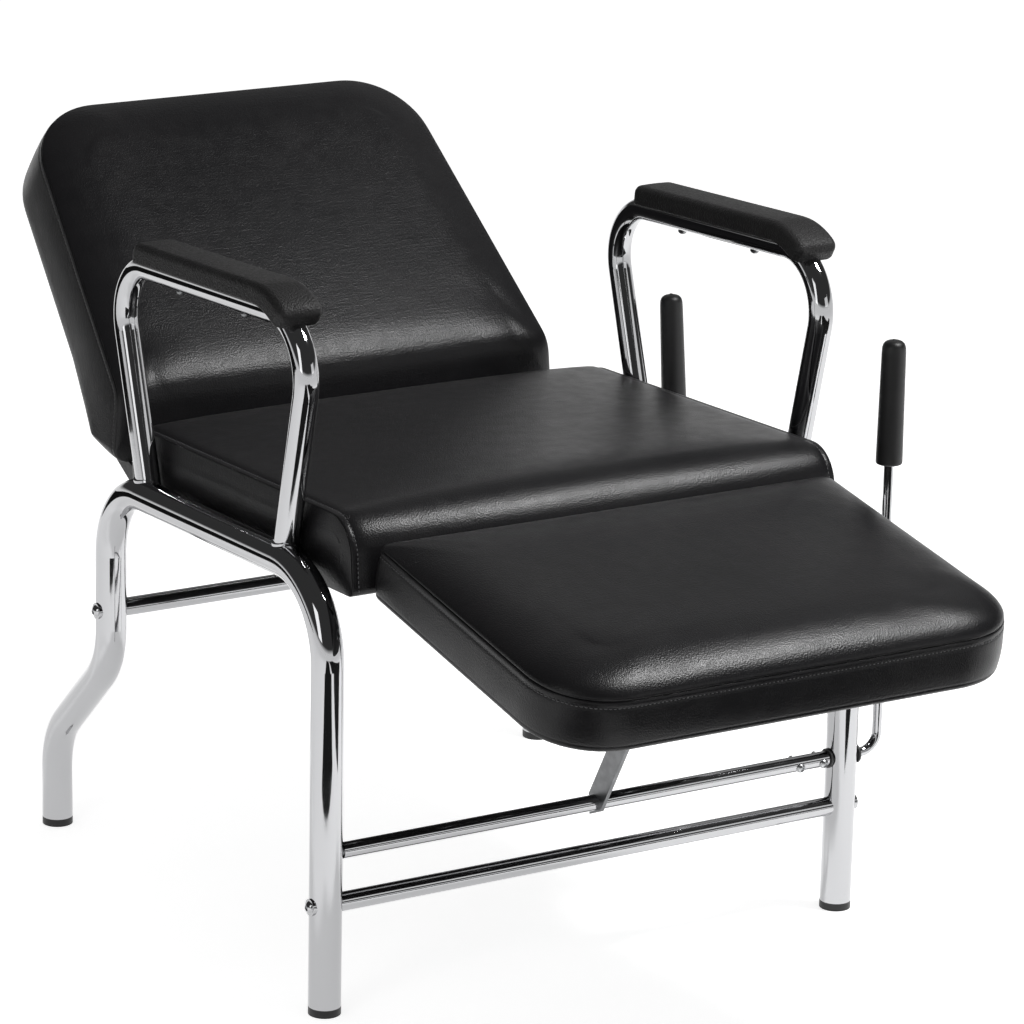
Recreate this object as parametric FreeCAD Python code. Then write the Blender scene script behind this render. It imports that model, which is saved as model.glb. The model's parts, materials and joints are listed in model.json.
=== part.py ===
import FreeCAD, Part
import math
import os

# Shampoo chair: chrome tube frame, padded seat, backrest that reclines and leg rest that a lever raises.
# Millimetres, +Z up, the front of the chair towards -Y, the sitter's left towards +X.
# The origin is on the floor, midway between the four feet.

# Side frames
TUBE_D = 32.0
TUBE_WALL = 1.6
FRAME_SPACING = 594.0
FRAME_BEND = 82.0
FRONT_LEG_Y = -294.0
REAR_FOOT_Y = 294.0
REAR_POST_Y = 164.0
REAR_KNEE_LOW_Z = 99.0
REAR_KNEE_HIGH_Z = 219.0
RAIL_REAR_Z = 412.0
RAIL_FRONT_Z = 434.5
CAP_HEIGHT = 8.0
CAP_PLUG = 18.0

# Arms
ARM_D = 25.0
ARM_WALL = 1.5
ARM_INSET = 6.0
ARM_SPACING = FRAME_SPACING - 2 * ARM_INSET
ARM_BEND = 58.0
ARM_REAR_BASE_Y = 87.0
ARM_FRONT_BASE_Y = -196.0
ARM_REAR_TOP_Y = 160.0
ARM_REAR_TOP_Z = 645.0
ARM_FRONT_TOP_Y = -251.5
ARM_FRONT_TOP_Z = 671.5
WELD_BEAD = 2.2
PAD_WIDTH = 52.0
PAD_TOP_WIDTH = 45.0
PAD_HEIGHT = 18.0
PAD_WRAP = 3.5
PAD_REAR_Y = 80.0
PAD_WRAP_ANGLE = 42.0
PAD_TOP_ROUND = 8.0
PAD_LOW_ROUND = 3.0
PAD_SCREW_FROM_ENDS = 60.0
PAD_SCREW_BITE = 10.0

# Cross tubes and their fixings
CROSS_D = 19.0
CROSS_WALL = 1.5
REAR_CROSS_Z = 275.0
FRONT_CROSS_Z = 111.0
CROSS_BOLT_D = 6.0
CROSS_BOLT_HEAD_D = 13.0
CROSS_BOLT_HEAD = 4.0
CROSS_WASHER_D = 17.0
CROSS_WASHER = 1.5
CROSS_INSERT = 22.0

# Upholstery
COVER = 1.5
SEAT_SIDE_GAP = 9.0
SEAT_WIDTH = FRAME_SPACING - TUBE_D - 2 * SEAT_SIDE_GAP
SEAT_FRONT_Y = -300.0
SEAT_REAR_Y = 160.0
SEAT_THICK = 76.0
SEAT_DROP = 19.0
SEAT_BOARD = 15.0
SEAT_FRONT_ROUND = 40.0
SEAT_REAR_ROUND = 22.0
SEAT_LOW_ROUND = 8.0
BACK_RECLINE = 49.5
BACK_LENGTH = 362.0
BACK_THICK = 84.0
BACK_SIDE_INSET = 11.0
BACK_LOW_WIDTH = SEAT_WIDTH - 2 * BACK_SIDE_INSET
BACK_TAPER = 31.0
BACK_TOP_WIDTH = BACK_LOW_WIDTH - 2 * BACK_TAPER
BACK_CORNER = 86.0
BACK_FACE_DROP = 82.0
BACK_UNDERSIDE_RISE = 14.0
BACK_BOARD = 15.0
BACK_KNEE_ROUND = 35.0
BACK_TOP_ROUND = 20.0
BACK_LOW_ROUND = 10.0
REAR_PANEL = 1.5
REAR_PANEL_INSET = 14.0
LEGREST_SIDE_INSET = 17.5
LEGREST_WIDTH = SEAT_WIDTH - 2 * LEGREST_SIDE_INSET
LEGREST_LENGTH = 346.0
LEGREST_THICK = 56.0
LEGREST_SLOPE = 9.5
LEGREST_BOARD = 12.0
LEGREST_FRONT_CORNER = 68.0
LEGREST_REAR_CORNER = 10.0
BOARD_INSET = 5.0

# Brackets, hinges and fasteners
PLATE = 4.0
BRACKET_LENGTH = 36.0
BRACKET_REAR_Y = 40.0
BRACKET_FRONT_Y = -170.0
BRACKET_REACH = 46.0
BRACKET_RAIL_GRIP = 8.0
BRACKET_RISE = 10.0
BOARD_SCREW_D = 6.0
BOARD_SCREW_HEAD_D = 11.0
BOARD_SCREW_HEAD = 4.0
BOARD_SCREW_BITE = 9.0
FLANGE_WIDTH = 30.0
BACK_PIVOT_BEHIND = 30.0
BACK_PIVOT_BELOW = 9.0
BACK_KNEE_BEHIND_PIVOT = 36.0
BACK_KNEE_ABOVE_PIVOT = 107.0
BACK_HINGE_FROM_EDGE = 20.0
BACK_HINGE_END = 13.0
BACK_HINGE_DEPTH = 8.0
BACK_HINGE_LENGTH = 70.0
BACK_PIN_D = 10.0
BACK_NUT = 7.0
SEAT_HINGE_LENGTH = 62.0
SEAT_HINGE_END = 15.0
LEG_PIVOT_AHEAD = 6.0
LEG_PIVOT_BELOW = 25.0
LEG_PIVOT_TO_TOP = 80.0
LEG_HINGE_FROM_EDGE = 90.0
LEG_HINGE_END = 11.0
LEG_HINGE_LENGTH = 64.0
LEG_HINGE_SETBACK = 14.0
LEG_PIN_D = 8.0

# Levers and their linkages
TORQUE_D = 16.0
TORQUE_WALL = 3.0
LEVER_GAP = 27.0
LEVER_BEND = 20.0
LEVER_GRIP_LENGTH = 128.0
LEVER_GRIP_LOW_D = 27.0
LEVER_GRIP_TOP_D = 24.5
LEVER_GRIP_END = 8.0
CLAMP_SCREW_D = 5.0
CLAMP_SCREW_HEAD_D = 10.0
CLAMP_SCREW_HEAD = 4.0
CLAMP_SCREW_TAIL = 4.0
CLAMP_SCREW_PITCH = 28.0
CLAMP_SCREW_FROM_END = 8.0
CLAMP_SCREW_TILT = 15.0
ROD_IN_TUBE = 60.0
LEG_TORQUE_Z = 163.0
LEG_LEVER_HEIGHT = 430.0
LEG_CRANK_LENGTH = 185.0
LEG_CRANK_LEAN = 29.4
LEG_CRANK_WIDTH = 25.0
LEG_CRANK_X = 5.0
LEG_CRANK_TIP = 17.0
LEG_CAM_PIN_D = 10.0
LEG_CAM_TRAVEL = 70.0
LEG_CAM_RATIO = -0.3
LEG_CAM_WIDTH = 48.0
LEG_CAM_PLATE = 3.0
LEG_CAM_MARGIN = 8.0
LEG_CAM_ROUND = 10.0
LEG_CAM_FLANGE = 22.0
BUSH_WALL = 2.0
BUSH_FLANGE = 2.0
BUSH_FLANGE_D = 20.0
RECLINE_TORQUE_Y = 95.0
RECLINE_TORQUE_BELOW = 31.0
RECLINE_LEVER_HEIGHT = 183.0
RECLINE_LEVER_LEAN = 6.0
RECLINE_TUBE_END_GAP = 2.5
RECLINE_TUBE_LENGTH = 178.0
RECLINE_CRANK_FROM_END = 56.0
RECLINE_CRANK_LENGTH = 72.0
RECLINE_CRANK_LEAN = 20.0
RECLINE_CRANK_PLATE = 5.0
RECLINE_CRANK_END = 13.0
RECLINE_LINK_END = 10.0
RECLINE_LINK_GAP = 1.0
RECLINE_PIN_D = 8.0
RECLINE_ARM_LENGTH = 60.0
BEARING_LENGTH = 50.0
BEARING_END = 16.0
BEARING_FROM_END = 8.0
BEARING_SPAN = 116.0
PIN_HEAD = 3.0
PIN_HEAD_RIM = 3.0

# Clearances
FIT = 0.05
SOFT_GAP = 0.2
SIDE_GAP = 0.5
CAM_GAP = 0.3

X_AXIS = FreeCAD.Vector(1, 0, 0)
Z_AXIS = FreeCAD.Vector(0, 0, 1)
ORIGIN = FreeCAD.Vector(0, 0, 0)
HEX_SIDES = 6

# Worked out from the driving dimensions
frame_x = FRAME_SPACING / 2
arm_x = ARM_SPACING / 2
leg_inner_x = frame_x - TUBE_D / 2
leg_outer_x = frame_x + TUBE_D / 2
seat_half = SEAT_WIDTH / 2
back_low_half = BACK_LOW_WIDTH / 2
back_top_half = BACK_TOP_WIDTH / 2
legrest_half = LEGREST_WIDTH / 2
lever_x = leg_outer_x + LEVER_GAP
rod_d = TORQUE_D - 2 * TORQUE_WALL - 2 * FIT
rail_tilt = math.atan2(RAIL_FRONT_Z - RAIL_REAR_Z, REAR_POST_Y - FRONT_LEG_Y)


def point(x, y, z):
    return FreeCAD.Vector(x, y, z)


def rail_z(y):
    """Height of the rail's centre line at y."""
    return RAIL_REAR_Z + (REAR_POST_Y - y) * math.tan(rail_tilt)


def placer(origin_y, origin_z, along, out):
    """Function from x, a distance along a board and a distance out of it to a point of the chair."""
    def place(x, a, b):
        return point(x, origin_y + a * along[0] + b * out[0], origin_z + a * along[1] + b * out[1])
    return place


# Seat: y along the seat, w up from its underside
seat_at = placer(0, rail_z(0) - SEAT_DROP / math.cos(rail_tilt), (math.cos(rail_tilt), -math.sin(rail_tilt)),
                 (math.sin(rail_tilt), math.cos(rail_tilt)))
seat_up = seat_at(0, 0, 1) - seat_at(0, 0, 0)

# Backrest pivot, and the backrest: v up its front face from the lower bend, n into the cushion
back_pivot = seat_at(0, SEAT_REAR_Y, 0) + point(0, BACK_PIVOT_BEHIND, -BACK_PIVOT_BELOW)
recline = math.radians(BACK_RECLINE)
back_at = placer(back_pivot.y + BACK_KNEE_BEHIND_PIVOT, back_pivot.z + BACK_KNEE_ABOVE_PIVOT,
                 (math.sin(recline), math.cos(recline)), (math.cos(recline), -math.sin(recline)))
back_out = back_at(0, 0, 1) - back_at(0, 0, 0)

# Leg rest pivot, and the leg rest: a forward from its rear edge, d down from its top
leg_pivot = seat_at(0, SEAT_FRONT_Y, 0) + point(0, -LEG_PIVOT_AHEAD, -LEG_PIVOT_BELOW)
slope = math.radians(LEGREST_SLOPE)
leg_at = placer(leg_pivot.y - LEG_PIVOT_AHEAD, leg_pivot.z + LEG_PIVOT_TO_TOP,
                (-math.cos(slope), -math.sin(slope)), (math.sin(slope), -math.cos(slope)))
leg_down = leg_at(0, 0, 1) - leg_at(0, 0, 0)

# Lever shafts and the ends of their cranks
leg_shaft = point(0, FRONT_LEG_Y, LEG_TORQUE_Z)
recline_shaft = seat_at(0, RECLINE_TORQUE_Y, -RECLINE_TORQUE_BELOW)
crank_lean = math.radians(RECLINE_CRANK_LEAN)
recline_crank = point(0, -math.sin(crank_lean), -math.cos(crank_lean)) * RECLINE_CRANK_LENGTH


def leg_crank_end(turn):
    """Crank end of the leg rest shaft after the lever has turned forward by so many degrees."""
    lean = math.radians(LEG_CRANK_LEAN + turn)
    return leg_shaft + point(0, -math.sin(lean), math.cos(lean)) * LEG_CRANK_LENGTH


def at_x(p, x):
    return point(x, p.y, p.z)


def mirrored(shape):
    return shape.mirror(ORIGIN, X_AXIS)


def both_sides(shape):
    return [shape, mirrored(shape)]


def save(node, *shapes):
    solids = [solid for shape in shapes for solid in shape.Solids]
    Part.makeCompound(solids).exportStep(f"parts/{node}.step")


def aligned(shape, position, direction):
    """A shape built along +Z at the origin, moved to a position and turned to a direction."""
    shape.Placement = FreeCAD.Placement(position, FreeCAD.Rotation(Z_AXIS, direction))
    return shape


def cylinder(start, direction, length, diameter):
    return Part.makeCylinder(diameter / 2, length, start, direction)


def cross_cylinder(p, x0, x1, diameter):
    """Cylinder along X through p."""
    return cylinder(at_x(p, x0), X_AXIS, x1 - x0, diameter)


def bent_path(points, bend):
    """Straight runs through the points, joined by tangent arcs."""
    edges = []
    start = points[0]
    for before, corner, after in zip(points, points[1:], points[2:]):
        back = (before - corner).normalize()
        ahead = (after - corner).normalize()
        half = back.getAngle(ahead) / 2
        first = corner + back * (bend / math.tan(half))
        last = corner + ahead * (bend / math.tan(half))
        middle = corner + (back + ahead).normalize() * (bend / math.sin(half) - bend)
        edges.append(Part.makeLine(start, first))
        edges.append(Part.Arc(first, middle, last).toShape())
        start = last
    edges.append(Part.makeLine(start, points[-1]))
    return edges


def round_bar(points, bend, diameter):
    section = Part.Wire(Part.Circle(points[0], points[1] - points[0], diameter / 2).toShape())
    return Part.Wire(bent_path(points, bend)).makePipeShell([section], True, False)


def bent_tube(points, bend, diameter, wall):
    return round_bar(points, bend, diameter).cut(round_bar(points, bend, diameter - 2 * wall))


def face(points, radii=None):
    """Flat face with a closed outline whose corners have the given radii, or are sharp."""
    count = len(points)
    radii = radii or [0] * count
    bends = []
    for i, corner in enumerate(points):
        back = (points[i - 1] - corner).normalize()
        ahead = (points[(i + 1) % count] - corner).normalize()
        half = back.getAngle(ahead) / 2
        middle = corner + (back + ahead).normalize() * (radii[i] / math.sin(half) - radii[i])
        bends.append((corner + back * (radii[i] / math.tan(half)), middle,
                      corner + ahead * (radii[i] / math.tan(half))))
    edges = []
    for i, (first, middle, last) in enumerate(bends):
        if radii[i] > 0:
            edges.append(Part.Arc(first, middle, last).toShape())
        edges.append(Part.makeLine(last, bends[(i + 1) % count][0]))
    return Part.Face(Part.Wire(edges))


def inset(points, distances):
    """Corners of an outline after side i, which starts at corner i, has moved inwards."""
    count = len(points)
    area = sum(p[0] * q[1] - p[1] * q[0] for p, q in zip(points, points[1:] + points[:1]))
    sides = []
    for i, p in enumerate(points):
        q = points[(i + 1) % count]
        length = math.dist(p, q)
        way = ((q[0] - p[0]) / length, (q[1] - p[1]) / length)
        shift = distances[i] if area > 0 else -distances[i]
        sides.append(((p[0] - way[1] * shift, p[1] + way[0] * shift), way))
    corners = []
    for i, (q, e) in enumerate(sides):
        p, d = sides[i - 1]
        run = ((q[0] - p[0]) * e[1] - (q[1] - p[1]) * e[0]) / (d[0] * e[1] - d[1] * e[0])
        corners.append((p[0] + run * d[0], p[1] + run * d[1]))
    return corners


def slab(place, x0, x1, a0, a1, b0, b1):
    """Box on a board, between two values of x, along and out."""
    corners = [place(x0, a0, b0), place(x0, a1, b0), place(x0, a1, b1), place(x0, a0, b1)]
    return face(corners).extrude(X_AXIS * (x1 - x0))


def side_solid(place, profile, radii, half_width):
    """Solid with one side profile all across the chair."""
    return face([place(-half_width, *p) for p in profile], radii).extrude(X_AXIS * (2 * half_width))


def plan_solid(place, plan, radii, b0, b1):
    """Solid with one plan outline through the thickness of a cushion."""
    return face([place(x, a, b0) for x, a in plan], radii).extrude(place(0, 0, b1) - place(0, 0, b0))


def disc_plate(p, radius, x, thickness):
    return cross_cylinder(p, x, x + thickness, 2 * radius)


def tangent_point(start, centre, radius, side):
    """Where the line from start touches the circle, on its left (+1) or right (-1) seen from the centre."""
    away = start - centre
    angle = math.atan2(away.z, away.y) + side * math.acos(radius / away.Length)
    return centre + point(0, math.cos(angle), math.sin(angle)) * radius


def arm_plate(corners, pivot, radius, side, x, thickness):
    """Plate from a row of corners to a round end about a pivot."""
    first = tangent_point(at_x(corners[0], 0), pivot, radius, side)
    last = tangent_point(at_x(corners[-1], 0), pivot, radius, -side)
    outline = [at_x(p, x) for p in [first] + corners + [last]]
    blade = face(outline).extrude(X_AXIS * thickness)
    return blade.fuse(disc_plate(pivot, radius, x, thickness)).removeSplitter()


def flat_bar(p, q, radius, x, thickness):
    """Flat bar with round ends about p and q."""
    way = (q - p).normalize()
    side = point(0, -way.z, way.y) * radius
    p, q = at_x(p, x), at_x(q, x)
    edges = [
        Part.makeLine(p + side, q + side),
        Part.Arc(q + side, q + way * radius, q - side).toShape(),
        Part.makeLine(q - side, p - side),
        Part.Arc(p - side, p - way * radius, p + side).toShape(),
    ]
    return Part.Face(Part.Wire(edges)).extrude(X_AXIS * thickness)


def hexagon(across_flats, height):
    corner = across_flats / math.sqrt(3)
    angles = [2 * math.pi * i / HEX_SIDES for i in range(HEX_SIDES)]
    corners = [point(corner * math.cos(a), corner * math.sin(a), 0) for a in angles]
    return face(corners).extrude(Z_AXIS * height)


def hex_screw(position, direction, diameter, length, head_d, head):
    """Hex-head screw whose head bears at the position and whose shank goes in the direction."""
    crown = hexagon(head_d * math.sqrt(3) / 2, head)
    crown.translate(point(0, 0, -head))
    return aligned(crown.fuse(Part.makeCylinder(diameter / 2, length)).removeSplitter(), position, direction)


def dome_screw(position, direction, diameter, length, head_d, head):
    """Dome-head screw with a socket of the shank's width, half as deep as the head is high."""
    ball = (head_d ** 2 / 4 + head ** 2) / (2 * head)
    crown = Part.makeCylinder(head_d / 2, head, point(0, 0, -head))
    crown = crown.common(Part.makeSphere(ball, point(0, 0, ball - head)))
    socket = hexagon(diameter * math.sqrt(3) / 2, head / 2)
    socket.translate(point(0, 0, -head))
    screw = crown.fuse(Part.makeCylinder(diameter / 2, length)).cut(socket)
    return aligned(screw.removeSplitter(), position, direction)


def pin(p, x0, x1, diameter):
    """Headed pin along X: x0 and x1 are the inner faces of its two heads."""
    head_d = diameter + 2 * PIN_HEAD_RIM
    heads = cross_cylinder(p, x0 - PIN_HEAD, x0, head_d).fuse(cross_cylinder(p, x1, x1 + PIN_HEAD, head_d))
    return heads.fuse(cross_cylinder(p, x0, x1, diameter)).removeSplitter()


def board_screw_spots(place, b, spots):
    return [place(x, a, b) for x, a in spots]


def board_screws(spots, direction, thickness):
    """Screws through a plate of this thickness into a board."""
    return [hex_screw(spot, direction, BOARD_SCREW_D, thickness + BOARD_SCREW_BITE, BOARD_SCREW_HEAD_D,
                      BOARD_SCREW_HEAD) for spot in spots]


def screw_holes(spots, direction, thickness):
    depth = thickness + BOARD_SCREW_BITE + SOFT_GAP
    return Part.makeCompound([cylinder(spot, direction, depth, BOARD_SCREW_D + 2 * FIT) for spot in spots])


def rod_hole(p, x0, x1, diameter):
    return cross_cylinder(p, x0, x1, diameter + 2 * FIT)


# Centre lines of one side frame and one arm, in the plane of that side
def side_line(x, foot_z):
    return [
        point(x, REAR_FOOT_Y, foot_z),
        point(x, REAR_FOOT_Y, REAR_KNEE_LOW_Z),
        point(x, REAR_POST_Y, REAR_KNEE_HIGH_Z),
        point(x, REAR_POST_Y, RAIL_REAR_Z),
        point(x, FRONT_LEG_Y, RAIL_FRONT_Z),
        point(x, FRONT_LEG_Y, foot_z),
    ]


def arm_line(x):
    return [
        point(x, ARM_REAR_BASE_Y, rail_z(ARM_REAR_BASE_Y)),
        point(x, ARM_REAR_TOP_Y, ARM_REAR_TOP_Z),
        point(x, ARM_FRONT_TOP_Y, ARM_FRONT_TOP_Z),
        point(x, ARM_FRONT_BASE_Y, rail_z(ARM_FRONT_BASE_Y)),
    ]


def cross_bolt_points():
    """Where the cross tubes meet the legs."""
    return [point(0, REAR_POST_Y, REAR_CROSS_Z), point(0, FRONT_LEG_Y, FRONT_CROSS_Z)]


def make_side_frames():
    blank = bent_tube(side_line(frame_x, CAP_HEIGHT), FRAME_BEND, TUBE_D, TUBE_WALL)
    for spot in cross_bolt_points():
        blank = blank.cut(rod_hole(spot, leg_inner_x - TUBE_WALL, leg_outer_x + TUBE_WALL, CROSS_BOLT_D))
    bush_d = rod_d + 2 * FIT + 2 * BUSH_WALL
    right = blank.cut(rod_hole(leg_shaft, leg_inner_x - TUBE_WALL, leg_outer_x + TUBE_WALL, bush_d))
    left = mirrored(blank).cut(rod_hole(leg_shaft, -frame_x, -leg_inner_x + TUBE_WALL, rod_d))
    save("right_side_frame", right)
    save("left_side_frame", left)


def make_foot_caps():
    plug_d = TUBE_D - 2 * TUBE_WALL - 2 * FIT
    caps = []
    for y in (FRONT_LEG_Y, REAR_FOOT_Y):
        foot = point(frame_x, y, 0)
        cap = cylinder(foot, Z_AXIS, CAP_HEIGHT, TUBE_D)
        plug = cylinder(foot, Z_AXIS, CAP_HEIGHT + CAP_PLUG, plug_d)
        caps += both_sides(cap.fuse(plug).removeSplitter())
    save("foot_caps", *caps)


def pad_line():
    """Straight run of the right arm's centre line under its pad: two ends, forward and upward directions."""
    rear, front, base = arm_line(arm_x)[1:4]
    way = (front - rear).normalize()
    up = point(0, way.z, -way.y)
    half = (rear - front).getAngle(base - front) / 2
    start = rear + way * ((rear.y - PAD_REAR_Y) / -way.y)
    bend_start = front - way * (ARM_BEND / math.tan(half))
    return start, bend_start, way, up


def pad_screw_spots():
    """Bearing points of the pad screws under the right arm tube, and the direction up into the pad."""
    start, bend_start, way, up = pad_line()
    spots = [start + way * PAD_SCREW_FROM_ENDS, bend_start - way * PAD_SCREW_FROM_ENDS]
    return [spot - up * (ARM_D / 2) for spot in spots], up


def make_arms():
    line = arm_line(arm_x)
    rail_line = side_line(frame_x, CAP_HEIGHT)
    rail = round_bar(rail_line, FRAME_BEND, TUBE_D + 2 * FIT)
    outer = round_bar(line, ARM_BEND, ARM_D)
    bead = round_bar(line, ARM_BEND, ARM_D + 2 * WELD_BEAD)
    bead = bead.common(round_bar(rail_line, FRAME_BEND, TUBE_D + 2 * WELD_BEAD)).cut(rail)
    arm = outer.fuse(bead).cut(round_bar(line, ARM_BEND, ARM_D - 2 * ARM_WALL)).cut(rail)
    spots, up = pad_screw_spots()
    screw_length = ARM_D + PAD_SCREW_BITE
    holes = [cylinder(s, up, screw_length + SOFT_GAP, CLAMP_SCREW_D + 2 * FIT) for s in spots]
    arm = arm.cut(Part.makeCompound(holes)).removeSplitter()
    main = max(arm.Solids, key=lambda solid: solid.Volume)
    save("right_arm_tube", main)
    save("left_arm_tube", mirrored(main))
    pad = arm_pad().cut(Part.makeCompound(holes))
    save("right_arm_pad", pad)
    save("left_arm_pad", mirrored(pad))
    screws = []
    for s in spots:
        screw = dome_screw(s, up, CLAMP_SCREW_D, screw_length, CLAMP_SCREW_HEAD_D, CLAMP_SCREW_HEAD)
        screws += both_sides(screw)
    save("arm_pad_screws", *screws)


def arm_pad():
    """Moulded pad that follows the arm's centre line and wraps over its front bend."""
    start, bend_start, way, up = pad_line()
    centre = bend_start - up * ARM_BEND

    def on_bend(angle):
        turn = math.radians(angle)
        return centre + (up * math.cos(turn) + way * math.sin(turn)) * ARM_BEND

    path = Part.Wire([
        Part.makeLine(start, bend_start),
        Part.Arc(bend_start, on_bend(PAD_WRAP_ANGLE / 2), on_bend(PAD_WRAP_ANGLE)).toShape(),
    ])
    low = ARM_D / 2 - PAD_WRAP
    high = ARM_D / 2 + PAD_HEIGHT
    foot = PAD_WIDTH / 2
    top = PAD_TOP_WIDTH / 2
    corners = [(-foot, low), (foot, low), (top, high), (-top, high)]
    section = face([start + X_AXIS * x + up * h for x, h in corners],
                   [PAD_LOW_ROUND, PAD_LOW_ROUND, PAD_TOP_ROUND, PAD_TOP_ROUND])
    pad = path.makePipeShell([section.OuterWire], True, False)
    return pad.cut(round_bar(arm_line(arm_x), ARM_BEND, ARM_D + 2 * SOFT_GAP))


def make_cross_tubes():
    legs = round_bar(side_line(frame_x, CAP_HEIGHT), FRAME_BEND, TUBE_D + 2 * FIT)
    bore = CROSS_D - 2 * CROSS_WALL
    bolt_reach = TUBE_D + CROSS_WASHER + CROSS_INSERT
    bolts = []
    washers = []
    inserts = []
    for name, spot in zip(("rear", "front"), cross_bolt_points()):
        tube = cross_cylinder(spot, -frame_x, frame_x, CROSS_D)
        tube = tube.cut(cross_cylinder(spot, -frame_x, frame_x, bore)).cut(legs).cut(mirrored(legs))
        save(f"{name}_cross_tube", max(tube.Solids, key=lambda solid: solid.Volume))
        insert = cross_cylinder(spot, leg_inner_x - CROSS_INSERT, frame_x, bore - 2 * FIT)
        insert = insert.cut(legs).cut(rod_hole(spot, 0, frame_x, CROSS_BOLT_D))
        inserts += both_sides(max(insert.Solids, key=lambda solid: solid.Volume))
        washer = cross_cylinder(spot, frame_x, leg_outer_x + CROSS_WASHER, CROSS_WASHER_D)
        washer = washer.cut(legs).cut(rod_hole(spot, frame_x, leg_outer_x + CROSS_WASHER, CROSS_BOLT_D))
        washers += both_sides(washer)
        bolt = dome_screw(at_x(spot, leg_outer_x + CROSS_WASHER), -X_AXIS, CROSS_BOLT_D, bolt_reach,
                          CROSS_BOLT_HEAD_D, CROSS_BOLT_HEAD)
        bolts += both_sides(bolt)
    save("cross_tube_bolts", *bolts)
    save("cross_tube_washers", *washers)
    save("cross_tube_inserts", *inserts)


# Flange and screw places on the seat board's underside
bracket_x = seat_half - BRACKET_REACH
back_arm_x = back_low_half - BACK_HINGE_FROM_EDGE
seat_hinge_x = back_arm_x - SIDE_GAP - PLATE
leg_arm_x = legrest_half - LEG_HINGE_FROM_EDGE
seat_leg_hinge_x = leg_arm_x - SIDE_GAP - PLATE
recline_tube_right_x = seat_hinge_x - RECLINE_TUBE_END_GAP
RECLINE_TUBE_LEFT_X = recline_tube_right_x - RECLINE_TUBE_LENGTH
RECLINE_CRANK_X = RECLINE_TUBE_LEFT_X + RECLINE_CRANK_FROM_END
left_bearing_x = RECLINE_TUBE_LEFT_X + BEARING_FROM_END
bearing_xs = [left_bearing_x, left_bearing_x + BEARING_SPAN]
seat_hinge_end_y = SEAT_REAR_Y - BACK_LOW_ROUND
seat_hinge_start_y = seat_hinge_end_y - SEAT_HINGE_LENGTH
leg_hinge_end_y = SEAT_FRONT_Y + LEG_HINGE_SETBACK + LEG_HINGE_LENGTH
leg_hinge_start_y = SEAT_FRONT_Y + LEG_HINGE_SETBACK
bearing_start_y = RECLINE_TORQUE_Y - BEARING_LENGTH / 2


def pair_along(x, start, length):
    """Two screw places a quarter of the flange's length from its ends."""
    return [(x, start + length / 4), (x, start + 3 * length / 4)]


def seat_screw_groups():
    """Screw places under the seat board for each kind of bracket, as x and y along the seat."""
    inner = FLANGE_WIDTH / 2
    brackets = [(side * bracket_x + side * BRACKET_LENGTH / 2, y)
                for side in (1, -1) for y in (BRACKET_REAR_Y, BRACKET_FRONT_Y)]
    hinge = []
    leg_hinge = []
    for side in (1, -1):
        x = side * (seat_hinge_x + PLATE / 2 - inner)
        hinge += pair_along(x, seat_hinge_start_y, SEAT_HINGE_LENGTH)
        x = side * (seat_leg_hinge_x + PLATE / 2 - inner)
        leg_hinge += pair_along(x, leg_hinge_start_y, LEG_HINGE_LENGTH)
    bearing = []
    for x in bearing_xs:
        bearing += pair_along(x + PLATE / 2 + inner, bearing_start_y, BEARING_LENGTH)
    return {"brackets": brackets, "hinge": hinge, "leg_hinge": leg_hinge, "bearing": bearing}


def seat_spots(group):
    return board_screw_spots(seat_at, -PLATE, seat_screw_groups()[group])


def seat_holes(group):
    return screw_holes(seat_spots(group), seat_up, PLATE)


def seat_envelope(skin, floor, low_round):
    profile = [(SEAT_REAR_Y, 0), (SEAT_FRONT_Y, 0), (SEAT_FRONT_Y, SEAT_THICK), (SEAT_REAR_Y, SEAT_THICK)]
    radii = [low_round, low_round, SEAT_FRONT_ROUND - skin, SEAT_REAR_ROUND - skin]
    return side_solid(seat_at, inset(profile, [floor, skin, skin, skin]), radii, seat_half - skin)


def make_seat():
    outer = seat_envelope(0, 0, SEAT_LOW_ROUND)
    save("seat_cover", outer.cut(seat_envelope(COVER, -COVER, SEAT_LOW_ROUND - COVER)))
    lining = COVER + SOFT_GAP
    save("seat_foam", seat_envelope(lining, SEAT_BOARD + SOFT_GAP, SEAT_LOW_ROUND - COVER))
    edge = lining + BOARD_INSET
    half = seat_half - edge
    board = slab(seat_at, -half, half, SEAT_FRONT_Y + edge, SEAT_REAR_Y - edge, 0, SEAT_BOARD)
    for group in seat_screw_groups():
        board = board.cut(seat_holes(group))
    save("seat_board", board)
    screws = []
    for group in seat_screw_groups():
        screws += board_screws(seat_spots(group), seat_up, PLATE)
    save("seat_board_screws", *screws)


def make_seat_brackets():
    """Saddle brackets that carry the seat board on the rails."""
    rail = round_bar(side_line(frame_x, CAP_HEIGHT), FRAME_BEND, TUBE_D + 2 * FIT)
    outer_x = frame_x - BRACKET_RAIL_GRIP
    saddle_x = seat_half + BRACKET_RAIL_GRIP / 2
    for end, y in (("rear", BRACKET_REAR_Y), ("front", BRACKET_FRONT_Y)):
        first, last = y - BRACKET_LENGTH / 2, y + BRACKET_LENGTH / 2
        bracket = slab(seat_at, bracket_x, outer_x, first, last, -PLATE, 0)
        bracket = bracket.fuse(slab(seat_at, saddle_x, outer_x, first, last, -PLATE, BRACKET_RISE)).cut(rail)
        bracket = bracket.removeSplitter()
        holes = seat_holes("brackets")
        save(f"{end}_seat_brackets", *[shape.cut(holes) for shape in both_sides(bracket)])


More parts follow.
